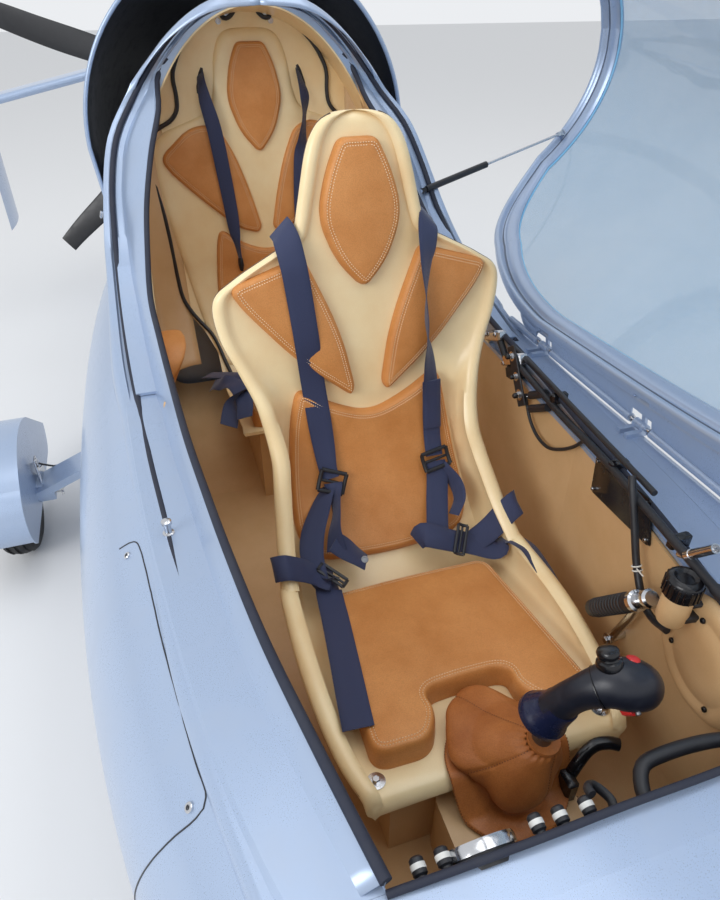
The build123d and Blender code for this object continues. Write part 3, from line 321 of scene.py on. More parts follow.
def smooth_rows(rows, step=0.01):
    """A Catmull-Rom curve through rows of numbers. The first three are a place; the rest go along."""
    rows = [tuple(map(float, row)) for row in rows]
    first = tuple(2 * a - b for a, b in zip(rows[0], rows[1]))
    last = tuple(2 * a - b for a, b in zip(rows[-1], rows[-2]))
    ends, line = [first, *rows, last], []
    for a, b, c, d in zip(ends, ends[1:], ends[2:], ends[3:]):
        count = max(1, round(dist(b[:3], c[:3]) / step))
        for i in range(count):
            t = i / count
            line.append(tuple(0.5 * (2 * q + (r - p) * t + (2 * p - 5 * q + 4 * r - s) * t * t
                                     + (3 * q - p - 3 * r + s) * t ** 3) for p, q, r, s in zip(a, b, c, d)))
    return line + [rows[-1]]


def smooth_line(points, step=0.01):
    return [Vector(row) for row in smooth_rows(points, step)]


def path(rows, step):
    """A smooth line through places in millimetres."""
    return smooth_line(mm(rows), step)


def three_point_arc(start, middle, end, count):
    """Points of the arc through three points of a plane."""
    (ax, az), (bx, bz), (cx, cz) = start, middle, end
    d = 2 * (ax * (bz - cz) + bx * (cz - az) + cx * (az - bz))
    mx = ((ax * ax + az * az) * (bz - cz) + (bx * bx + bz * bz) * (cz - az) + (cx * cx + cz * cz) * (az - bz)) / d
    mz = ((ax * ax + az * az) * (cx - bx) + (bx * bx + bz * bz) * (ax - cx) + (cx * cx + cz * cz) * (bx - ax)) / d
    r = hypot(ax - mx, az - mz)
    a, b, c = (atan2(z - mz, x - mx) for x, z in (start, middle, end))
    turn = 2 * pi
    b -= turn * round((b - a) / turn)
    c -= turn * round((c - b) / turn)
    return [(mx + r * cos(a + (c - a) * t / count), mz + r * sin(a + (c - a) * t / count))
        for t in range(count + 1)]


def angles(count, shift=0.0):
    """Equal steps round a full turn."""
    return [2 * pi * (k + shift) / count for k in range(count)]


def look_up(x, table, column):
    """A column of a table at x, which is its first column."""
    table = np.asarray(table)
    return float(np.interp(x, table[:, 0], table[:, column]))


def headings(line):
    """The direction of travel at each point of a line."""
    last = len(line) - 1
    return [(line[min(i + 1, last)] - line[max(i - 1, 0)]).normalized() for i in range(last + 1)]


# %% Rings, bars, straps and turned forms
def loft(rings, caps=True, closed=True):
    """Points and faces of a skin over rings that have equally many points each."""
    count = len(rings[0])
    faces = []
    for r in range(len(rings) - 1):
        for i in range(count if closed else count - 1):
            a, b = r * count + i, r * count + (i + 1) % count
            faces.append((a, b, b + count, a + count))
    if caps:
        faces += [tuple(reversed(range(count))), tuple((len(rings) - 1) * count + i for i in range(count))]
    return [p for ring in rings for p in ring], faces


def bar(line, radius, sides=10, flat=1.0, up=None):
    """A round or oval bar along a line. The radius is one number, or one for each point."""
    line = [Vector(p) for p in line]
    rings, side = [], None
    for i, (place, ahead) in enumerate(zip(line, headings(line))):
        guide = Vector(up).cross(ahead) if up is not None else (side or ahead.orthogonal())
        side = (guide - ahead * guide.dot(ahead)).normalized()
        lift, size = ahead.cross(side), radius[i] if isinstance(radius, (list, tuple)) else radius
        rings.append([place + side * (size * cos(a)) + lift * (size * flat * sin(a)) for a in angles(sides)])
    return loft(rings)


# Section of a strap, as shares of its width and of its thickness
STRAP_SECTION = [(-0.5, 0), (-0.47, 0.5), (-0.2, 0.6), (0.2, 0.6), (0.47, 0.5), (0.5, 0), (0.47, -0.5), (0, -0.5),
    (-0.47, -0.5)]


def strap(rows, thick, step=0.006):
    """A woven strap. Rows are x, y, z, the direction its width lies in (three numbers) and the width."""
    rings, weave, run, before = [], [], 0.0, None
    rows = smooth_rows(rows, step)
    line = [Vector(row[:3]) for row in rows]
    for place, ahead, row in zip(line, headings(line), rows):
        run += (place - before).length if before is not None else 0.0
        before, across = place, Vector(row[3:6])
        across = (across - ahead * across.dot(ahead)).normalized()
        lift = ahead.cross(across)
        rings.append([place + across * (u * row[6]) + lift * (v * thick) for u, v in STRAP_SECTION])
        weave += [(u + 0.5, run) for u, _ in STRAP_SECTION]
    points, faces = loft(rings)
    return points, faces, weave


def turned(place, axis, profile, sides=20):
    """A lathe form: the profile is pairs of a distance along the axis and a radius."""
    axis = Vector(axis).normalized()
    side = axis.orthogonal().normalized()
    lift = axis.cross(side)
    return loft([[Vector(place) + axis * far + (side * cos(a) + lift * sin(a)) * max(radius, 1e-5)
        for a in angles(sides)] for far, radius in profile])


def block(place, sizes, x_way=(1, 0, 0), z_way=(0, 0, 1), round_off=0.18):
    """A block with bevelled edges, by its middle, its three sizes and two of its directions."""
    x_way, z_way = Vector(x_way).normalized(), Vector(z_way).normalized()
    y_way = z_way.cross(x_way).normalized()
    z_way = x_way.cross(y_way)
    a, b, c = (s / 2 for s in sizes)
    cut = min(sizes) * round_off
    rings = []
    for high, inset in ((-c, cut), (-c + cut, 0), (c - cut, 0), (c, cut)):
        p, q = a - inset, b - inset
        outline = [(p, q - cut), (p - cut, q), (-p + cut, q), (-p, q - cut), (-p, -q + cut), (-p + cut, -q),
            (p - cut, -q), (p, -q + cut)]
        rings.append([Vector(place) + x_way * u + y_way * v + z_way * high for u, v in outline])
    return loft(rings)


# %% A heap of forms that becomes one piece
class Heap:
    """Gathers points and faces of many small forms, and makes one object of them."""

    def __init__(self):
        self.points, self.faces, self.wears, self.weave = [], [], [], {}

    def add(self, form, wear=0):
        points, faces = form[0], form[1]
        start = len(self.points)
        self.points += [Vector(p) for p in points]
        self.faces += [[start + i for i in face] for face in faces]
        self.wears += [wear] * len(faces)
        if len(form) > 2:
            self.weave.update({start + i: at for i, at in enumerate(form[2])})
        return self

    def make(self, name, finishes, body="airframe", slot=None, sharp=38.0):
        mesh = bpy.data.meshes.new(name)
        mesh.from_pydata(self.points, [], self.faces)
        finishes = finishes if isinstance(finishes, (list, tuple)) else [finishes]
        for finish in finishes:
            mesh.materials.append(finish)
        for face, wear in zip(mesh.polygons, self.wears):
            face.material_index = wear
        outward = bmesh.new()
        outward.from_mesh(mesh)
        bmesh.ops.recalc_face_normals(outward, faces=outward.faces[:])
        outward.to_mesh(mesh)
        outward.free()
        if self.weave:
            layer = mesh.uv_layers.new(name="weave")
            for loop in mesh.loops:
                layer.data[loop.index].uv = self.weave.get(loop.vertex_index, (0.0, 0.0))
        mesh.shade_smooth()
        mesh.set_sharp_from_angle(angle=radians(sharp))
        piece = bpy.data.objects.new(name, mesh)
        bpy.context.scene.collection.objects.link(piece)
        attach(piece, body)
        return piece


def hex_bolt(heap, place, axis, size, washer, wear=0):
    """A bolt head with six sides on its washer, standing on the point given."""
    heap.add(turned(place, axis, [(0, washer * 0.5), (0, washer), (0.0012, washer), (0.0016, washer * 0.5)], 24),
        wear)
    heap.add(turned(place, axis, [(0.001, size), (0.0055, size), (0.0066, size * 0.82), (0.0066, size * 0.3)], 6),
        wear)


def cap_screw(heap, place, axis, size, wear=0, recess_shade=1):
    """A socket head with its round recess, whose six-sided floor takes its own finish: a dark one there is painted
    shade.
    """
    heap.add(turned(place, axis, [(0, size * 0.3), (0, size), (0.0026, size), (0.0034, size * 0.85),
        (0.0034, size * 0.5), (0.0012, size * 0.46)], 18), wear)
    # Six-sided floor of the recess: a dark finish here is painted shade for the socket
    heap.add(turned(place, axis, [(0.0008, size * 0.44), (0.0015, size * 0.44), (0.0015, size * 0.1)], 6), recess_shade)


def thicken(piece, thick, offset):
    """Gives a skin its thickness."""
    skin = piece.modifiers.new("skin", "SOLIDIFY")
    skin.thickness, skin.offset = thick, offset


print("tools ready: smooth lines, bars, straps, turned forms, blocks and heaps")

# %% [markdown]
# ## Where the seats are
#
# Both seats follow one curve seen from the side: a straight back, a bend and a straight pan. Pads, belts
# and bolts are all placed on it by three numbers: how far down the curve, how far to port, and how far
# off the face. The numbers of the curve are those of the CAD source.

# %% A seat's face
class SeatFace:
    """The face of a seat, by five points of its side view in mm."""

    def __init__(self, top, foot, middle, end, front):
        way = [(top[0] + (foot[0] - top[0]) * t, top[1] + (foot[1] - top[1]) * t) for t in (-0.2, 0, 1)]
        way += three_point_arc(foot, middle, end, 40)[1:]
        way += [(end[0] + (front[0] - end[0]) * t, end[1] + (front[1] - end[1]) * t) for t in (1, 1.2)]
        self.way = np.array(way) / 1000.0
        steps = np.linalg.norm(np.diff(self.way, axis=0), axis=1)
        self.far = np.concatenate([[0], np.cumsum(steps)]) - steps[0]
        self.length = float(self.far[-2])

    def at(self, s, y, lift=0.0):
        x, z = (float(np.interp(s, self.far, self.way[:, k])) for k in (0, 1))
        return Vector((x, y, z)) + self.normal(s) * lift

    def normal(self, s):
        before, after = [np.array([np.interp(q, self.far, self.way[:, k]) for k in (0, 1)])
                         for q in (s - 0.012, s + 0.012)]
        tx, tz = after - before
        return Vector((-tz, 0, tx)).normalized()

    def down_to(self, z):
        """How far down the back the height z is."""
        back = self.way[:, 1]
        low = int(np.argmin(back))
        return float(np.interp(-z, -back[:low + 1], self.far[:low + 1]))

    def out_to(self, x):
        """How far along the curve the place x is, on the pan."""
        return float(np.interp(x, self.way[:, 0], self.far))


front_seat = SeatFace((1095, 1395), (1170, 930), (1240, 730), (1390, 612), (1795, 660))
rear_seat = SeatFace((140, 1515), (218, 900), (280, 700), (440, 572), (820, 650))
print("front seat curve:", round(front_seat.length, 3), "m, rear:", round(rear_seat.length, 3), "m")

# %% [markdown]
# ## The front seat shell
#
# The real shell is one thin moulding whose sides rise into bolsters and end in a thick rolled lip, with
# a dark line where its two halves meet. A solid modifier on a sheet would give a lip of one thickness,
# so the cross-section is drawn whole, face and back, at many places down the curve, and skinned.

# %% Cross-sections down the curve
# Share of the length, half width of the flat face, half width at the edge, height of the edge (mm)
SHELL = [(-0.013, 8, 12, 3), (-0.0115, 18, 28, 3), (-0.0075, 28, 44, 4), (0.0, 38, 59, 4), (0.016, 48, 74, 5),
    (0.036, 58, 84, 6), (0.06, 68, 92, 6), (0.09, 78, 101, 4), (0.118, 88, 110, 3), (0.138, 96, 122, 3),
    (0.152, 112, 156, 2), (0.18, 160, 224, 1), (0.205, 200, 262, 1), (0.255, 200, 260, 1), (0.31, 172, 234, 12),
    (0.36, 164, 212, 34), (0.43, 172, 202, 62), (0.485, 180, 208, 76), (0.54, 186, 216, 84), (0.6, 190, 224, 84),
    (0.645, 193, 230, 83), (0.682, 195, 233, 80), (0.74, 199, 238, 70), (0.82, 202, 240, 56), (0.89, 204, 235, 38),
    (0.95, 202, 224, 20), (1.0, 190, 204, 8)]


def shell_section(flat, edge, rise, roll):
    """Half a section from the middle outwards over the lip, then back underneath, as (across, height)."""
    lean = edge - flat
    face = [(0, 0), (flat * 0.55, 0), (flat * 0.85, 0.0006), (flat, rise * 0.03),
            (flat + lean * 0.3, rise * 0.22), (flat + lean * 0.52, rise * 0.62)]
    middle = (edge - roll * 0.55, rise - roll * 0.35)
    lip = [(middle[0] + roll * sin(a), middle[1] + roll * cos(a))
           for a in [radians(d) for d in (-62, -30, 0, 30, 60, 90, 120, 155)]]
    under = [(edge - roll * 0.45, rise - roll * 1.9), (flat + lean * 0.45, rise * 0.42 - 0.018), (flat, -0.01),
             (flat * 0.6, -0.008), (0, -0.008)]
    return [(max(0.0, a), b) for a, b in face] + lip + under


# The head end comes over and down behind, and so does the front edge
END_REACH, END_DROP = 0.022, 0.016
table = smooth_rows([(s * front_seat.length, f / 1000, e / 1000, r / 1000) for s, f, e, r in SHELL], 0.009)
rings = []
for s, flat, edge, rise in table:
    roll = 0.013 + 0.004 * min(1.0, max(0.0, rise) / 0.06)
    half = shell_section(flat, edge, rise, roll)
    points = half + [(-a, b) for a, b in reversed(half[1:-1])]
    drop = 0.0
    for end in (SHELL[0][0] * front_seat.length, front_seat.length):
        near = abs(s - end)
        if near < END_REACH:
            drop = -END_DROP * (1 - sqrt(max(0.0, 1 - (1 - near / END_REACH) ** 2)))
    rings.append([front_seat.at(s, a, b + drop) for a, b in points])
shell = Heap().add(loft(rings))
seam = [(s, edge + 0.0045, rise - 0.004) for s, flat, edge, rise in table[3:-2]]
for side in (1, -1):
    shell.add(bar([front_seat.at(s, side * y, lift) for s, y, lift in seam], 0.0014, 6), 1)
seat_line_brown = black_plastic("seat_line_brown", (74, 60, 50), 0.1, 0.5)
front_shell = shell.make("front_shell", [seat_pearl, seat_line_brown], sharp=50)
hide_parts("front_seat_shell")
print("front shell faces:", len(front_shell.data.polygons))

# %% Bolts at its front corners
bolts = Heap()
s = front_seat.out_to(1.762)
for y in (0.184, -0.184):
    hex_bolt(bolts, front_seat.at(s, y, 0.001), front_seat.normal(s), 0.0062, 0.0135)
bolts.make("front_seat_bolts", steel_bright)

# %% [markdown]
# ## The pads
#
# The pads are leather over foam on a stiff backing: flat against the shell, steep at the side, crowned
# across the top, with a sewn channel and a double row of pale thread just inside the edge. Each outline
# is triangulated with rings of points close together near the edge, where the shape turns quickly, and
# then every point is lifted by a height that depends only on how far it lies from the outline.

# %% Outlines with rounded corners
def rounded(corners, step=0.005):
    """A closed outline from corners (across, down, radius), with points about every step."""
    outline = []
    count = len(corners)
    for i in range(count):
        before, here, after = (Vector(corners[(i + k) % count][:2]) for k in (-1, 0, 1))
        reach = corners[i][2]
        start = here + (before - here).normalized() * min(reach, (before - here).length * 0.48)
        stop = here + (after - here).normalized() * min(reach, (after - here).length * 0.48)
        turns = max(3, round(reach * 1.6 / step))
        for k in range(turns + 1):
            t = k / turns
            outline.append(start * (1 - t) ** 2 + here * (2 * t * (1 - t)) + stop * t * t)
    even = []
    for a, b in zip(outline, outline[1:] + outline[:1]):
        far = (b - a).length
        if far < 1e-6:
            continue
        pieces = max(1, round(far / step))
        even += [a.lerp(b, k / pieces) for k in range(pieces)]
    return even


def distances(points, outline):
    """How far each point lies from a closed outline."""
    points = np.array([tuple(p) for p in points])
    start = np.array([tuple(p) for p in outline])
    way = np.roll(start, -1, axis=0) - start
    long = np.maximum((way ** 2).sum(axis=1), 1e-12)
    best = np.full(len(points), 1e9)
    for a, w, l in zip(start, way, long):
        t = np.clip(((points - a) @ w) / l, 0, 1)
        best = np.minimum(best, np.linalg.norm(points - (a + t[:, None] * w), axis=1))
    return best


def inset(outline, by):
    """The outline moved inwards, without the points that would cross over at a corner."""
    count = len(outline)
    area = sum(a.x * b.y - b.x * a.y for a, b in zip(outline, outline[1:] + outline[:1]))
    turn = 1 if area > 0 else -1
    moved = []
    for i in range(count):
        way = (outline[(i + 1) % count] - outline[i - 1]).normalized()
        moved.append(outline[i] + Vector((-way.y, way.x)) * (turn * by))
    keep = distances(moved, outline) > by - 0.00035
    return [p for p, ok in zip(moved, keep) if ok]


# %% The padded form and its thread
def thread_form(places, normals, pitch=0.0046, long=0.0031, thick=0.0009, closed=True):
    """Stitches along a closed line of places: short spindles with a gap between."""
    heap = Heap()
    places = list(places) + [places[0]] * closed
    normals = list(normals) + [normals[0]] * closed
    far = [0.0]
    for a, b in zip(places, places[1:]):
        far.append(far[-1] + (b - a).length)
    at = pitch * 0.5
    i = 0
    while at < far[-1] - pitch * 0.5:
        while far[i + 1] < at:
            i += 1
        t = (at - far[i]) / max(1e-9, far[i + 1] - far[i])
        middle, way = places[i].lerp(places[i + 1], t), (places[i + 1] - places[i]).normalized()
        lift = normals[i]
        side = lift.cross(way).normalized()
        ring = [middle + side * thick, middle + lift * thick * 1.3, middle - side * thick,
            middle - lift * thick * 0.5]
        ends = [middle - way * (long / 2) - lift * 0.0003, middle + way * (long / 2) - lift * 0.0003]
        heap.add((ring + ends, [(0, 1, 4), (1, 2, 4), (2, 3, 4), (3, 0, 4), (1, 0, 5), (2, 1, 5), (3, 2, 5),
            (0, 3, 5)]))
        at += pitch
    return heap.points, heap.faces


# How far the rings of points lie inside a pad's outline
PAD_RINGS = (0.0004, 0.0014, 0.003, 0.0052, 0.0078, 0.0098, 0.0112, 0.0128, 0.0155, 0.021)


def pad_form(face, corners, base, thick, crown=0.004, turn=0.013, sharpness=2.6, seams=(0.009, 0.0135),
        channel=0.0112, grid=0.01, depth=0.0011):
    """A crowned pad on a seat's face. Returns its form and its thread."""
    outline = rounded(corners)
    rings = [inset(outline, by) for by in PAD_RINGS]
    low = [min(p[k] for p in outline) for k in (0, 1)]
    high = [max(p[k] for p in outline) for k in (0, 1)]
    inner = []
    row = 0
    y = low[1]
    while y < high[1]:
        x = low[0] + (grid / 2 if row % 2 else 0)
        while x < high[0]:
            inner.append(Vector((x, y)))
            x += grid
        y += grid * 0.87
        row += 1
    inside = lambda p: sum((a.y > p.y) != (b.y > p.y) and p.x < (b.x - a.x) * (p.y - a.y) / (b.y - a.y) + a.x
                           for a, b in zip(outline, outline[1:] + outline[:1])) % 2 == 1
    inner = [p for p, far in zip(inner, distances(inner, outline)) if far > 0.026 and inside(p)]
    points = [Vector(p) for p in outline] + [p for ring in rings for p in ring] + inner
    edges = [(i, (i + 1) % len(outline)) for i in range(len(outline))]
    flat, _, faces, _, _, _ = delaunay_2d_cdt(points, edges, [], 1, 1e-6)
    far = distances(flat, outline)
    deepest = float(far.max())

    def height(d):
        share = min(1.0, d / turn)
        side = (1 - (1 - share) ** sharpness) ** (1 / sharpness)
        dome = crown * (1 - (1 - min(1.0, d / max(deepest, 0.02))) ** 2)
        groove = depth * exp(-((d - channel) / 0.0021) ** 2) if channel else 0.0
        return base + thick * side + dome - groove

    top = [face.at(p.y, p.x, height(d)) for p, d in zip(flat, far)]
    rim = {i for i, d in enumerate(far) if d < 1e-6}
    below = {}
    points3 = list(top)
    for i, p in enumerate(flat):
        if i in rim:
            below[i] = i
        else:
            below[i] = len(points3)
            points3.append(face.at(p.y, p.x, base))
    faces3 = [tuple(f) for f in faces] + [tuple(below[i] for i in reversed(f)) for f in faces]
    thread = Heap()
    for by in seams:
        line = inset(outline, by)
        places = [face.at(p.y, p.x, height(by) + 0.0004) for p in line]
        thread.add(thread_form(places, [face.normal(p.y) for p in line]))
    return (points3, faces3), (thread.points, thread.faces)


pale_thread = moulded("pale_thread", (250, 232, 200), (232, 206, 164), 0.6, 0.1)


def pad(name, node, face, corners, base, thick, fill=0.8, **more):
    form, thread = pad_form(face, corners, base, thick, **more)
    heap = Heap().add(form).add(thread, 1)
    piece = heap.make(name, [caramel, pale_thread], sharp=60)
    if node:
        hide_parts(node)
    print(name, "faces:", len(piece.data.polygons))
    return piece


def mirrored(half):
    return half + [(-y, s, r) for y, s, r in reversed(half) if abs(y) > 1e-6]


def by_height(face, rows):
    """Corners given as half width, height and radius in mm, turned into places on the seat's face."""
    return [(y / 1000, face.down_to(z / 1000), r / 1000) for y, z, r in rows]


# %% Front seat pads
# How high over the seat's face a pad's underside lies, on the bare shell and on the raised moulding
ON_SHELL, ON_MOULDING = 0.0007, 0.0095
pad("front_head_cushion", "front_head_pad", front_seat,
    mirrored(by_height(front_seat, [(33, 1373, 14), (58, 1322, 30), (76, 1254, 34), (48, 1180, 34),
    (0, 1128, 22)])), ON_SHELL, 0.019)
wing = [(107, 1196, 16), (242, 1156, 24), (222, 1118, 34), (132, 1010, 60), (36, 932, 10), (27, 950, 14),
    (48, 1060, 70)]
for side, word in ((1, "left"), (-1, "right")):
    corners = [(side * y, s, r) for y, s, r in by_height(front_seat, wing)]
    pad("front_wing_" + word, "front_wing_pad_" + word, front_seat, corners, ON_SHELL, 0.019)
back = by_height(front_seat, [(0, 890, 46), (70, 918, 60), (140, 964, 26), (158, 900, 60), (176, 760, 80)])
back += [(0.181, front_seat.down_to(0.69), 0.035), (0.15, front_seat.down_to(0.655), 0.035),
    (0, front_seat.down_to(0.646), 0.1)]
pad("front_lower_back", "front_back_pad", front_seat, mirrored(back), ON_SHELL, 0.02, crown=0.005)

# %% Rear seat: raised moulding and pads
def raised(name, face, corners, base, thick, turn):
    form, _ = pad_form(face, corners, base, thick, crown=0.0, turn=turn, sharpness=2.0, seams=(), channel=None,
        grid=0.014)
    return Heap().add(form).make(name, seat_pearl, sharp=70)


rear_half = [(0, 1480, 60), (72, 1476, 44), (100, 1420, 44), (110, 1330, 60), (128, 1286, 30), (196, 1262, 40),
    (268, 1240, 34), (306, 1196, 44), (304, 1120, 60), (286, 1010, 80), (262, 900, 80), (246, 800, 60),
    (226, 700, 40), (206, 640, 30)]
halo = by_height(rear_seat, rear_half) + [(0.19, rear_seat.down_to(0.61), 0.03),
    (0, rear_seat.down_to(0.605), 0.05)]
raised("rear_moulding", rear_seat, mirrored(halo), -0.001, 0.011, 0.026)
pad("rear_head_cushion", "rear_head_pad", rear_seat,
    mirrored(by_height(rear_seat, [(37, 1447, 14), (62, 1396, 30), (78, 1316, 34), (50, 1232, 34), (0, 1174, 22)])),
    ON_MOULDING, 0.014)
wing = [(146, 1256, 18), (196, 1246, 26), (279, 1180, 30), (262, 1144, 30), (186, 1066, 60), (84, 976, 30),
    (30, 960, 12), (16, 976, 12), (38, 1070, 60), (68, 1166, 60), (104, 1238, 24)]
for side, word in ((1, "left"), (-1, "right")):
    pad("rear_wing_" + word, None, rear_seat, [(side * y, s, r) for y, s, r in by_height(rear_seat, wing)],
        ON_MOULDING, 0.012)
back = by_height(rear_seat, [(0, 908, 46), (72, 930, 60), (142, 982, 24), (158, 940, 50), (174, 800, 80),
    (178, 700, 50)])
back += [(0.165, rear_seat.down_to(0.63), 0.035), (0, rear_seat.down_to(0.62), 0.1)]
pad("rear_lower_back", "rear_back_pad", rear_seat, mirrored(back), ON_MOULDING, 0.014, crown=0.004)

# %% Seat cushions
CUSHION = dict(fill=0.7, crown=0.004, turn=0.011, sharpness=3.4, seams=(0.0085, 0.0135), channel=0.011, grid=0.012)


def cushion_corners(face, rear_x, front_x, rear_half, front_half, notch=None):
    rear, front = face.out_to(rear_x), face.out_to(front_x)
    half = [(0.0, rear, 0.05), (rear_half, rear + 0.004, 0.034), (rear_half + 0.008, (rear + front) / 2, 0.1),
            (front_half, front, 0.03)]
    if notch:
        width, deep = notch
        half += [(width + 0.012, front + 0.002, 0.026), (width - 0.016, front - deep * 0.55, 0.02),
                 (width - 0.01, front - deep, 0.03), (0.0, front - deep - 0.004, 0.05)]
    else:
        half += [(0.0, front + 0.004, 0.08)]
    return mirrored(half)


pad("front_seat_cushion", "front_cushion", front_seat,
    cushion_corners(front_seat, 1.404, 1.75, 0.168, 0.184, (0.082, 0.084)),
    ON_SHELL, 0.041, **CUSHION)
pad("rear_seat_cushion", "rear_cushion", rear_seat,
    cushion_corners(rear_seat, 0.452, 0.798, 0.16, 0.178),
    ON_SHELL, 0.041, **CUSHION)

# %% [markdown]
# ## Harness
#
# Four-point belts of navy webbing: a shoulder strap through each slot of the shell, a ladder buckle
# halfway, and lap straps with stitched ends. A cloth simulation would lose the crisp edges of a woven
# strap, so each one is swept flat along its line, with the direction of its width given at every turn,
# which is how the twists are made.

# %% Straps laid on a seat
def lay(face, rows):
    """Rows of mm: down the curve, to port, off the face and the width, then the way the width lies.

    The way is its share to port, down the curve and off the face, and to port if it isn't given.
    Without a face the first three numbers are a place, and the way is a direction in space."""
    laid = []
    for s, y, lift, width, *way in rows:
        s, y, lift, width = s / 1000, y / 1000, lift / 1000, width / 1000
        if face is None:
            laid.append((s, y, lift, *way, width))
            continue
        port, down, out = way or (1, 0, 0)
        away = face.normal(s)
        across = Vector((0, port, 0)) + Vector((away.z, 0, -away.x)) * down + away * out
        laid.append((*face.at(s, y, lift), *across.normalized(), width))
    return laid


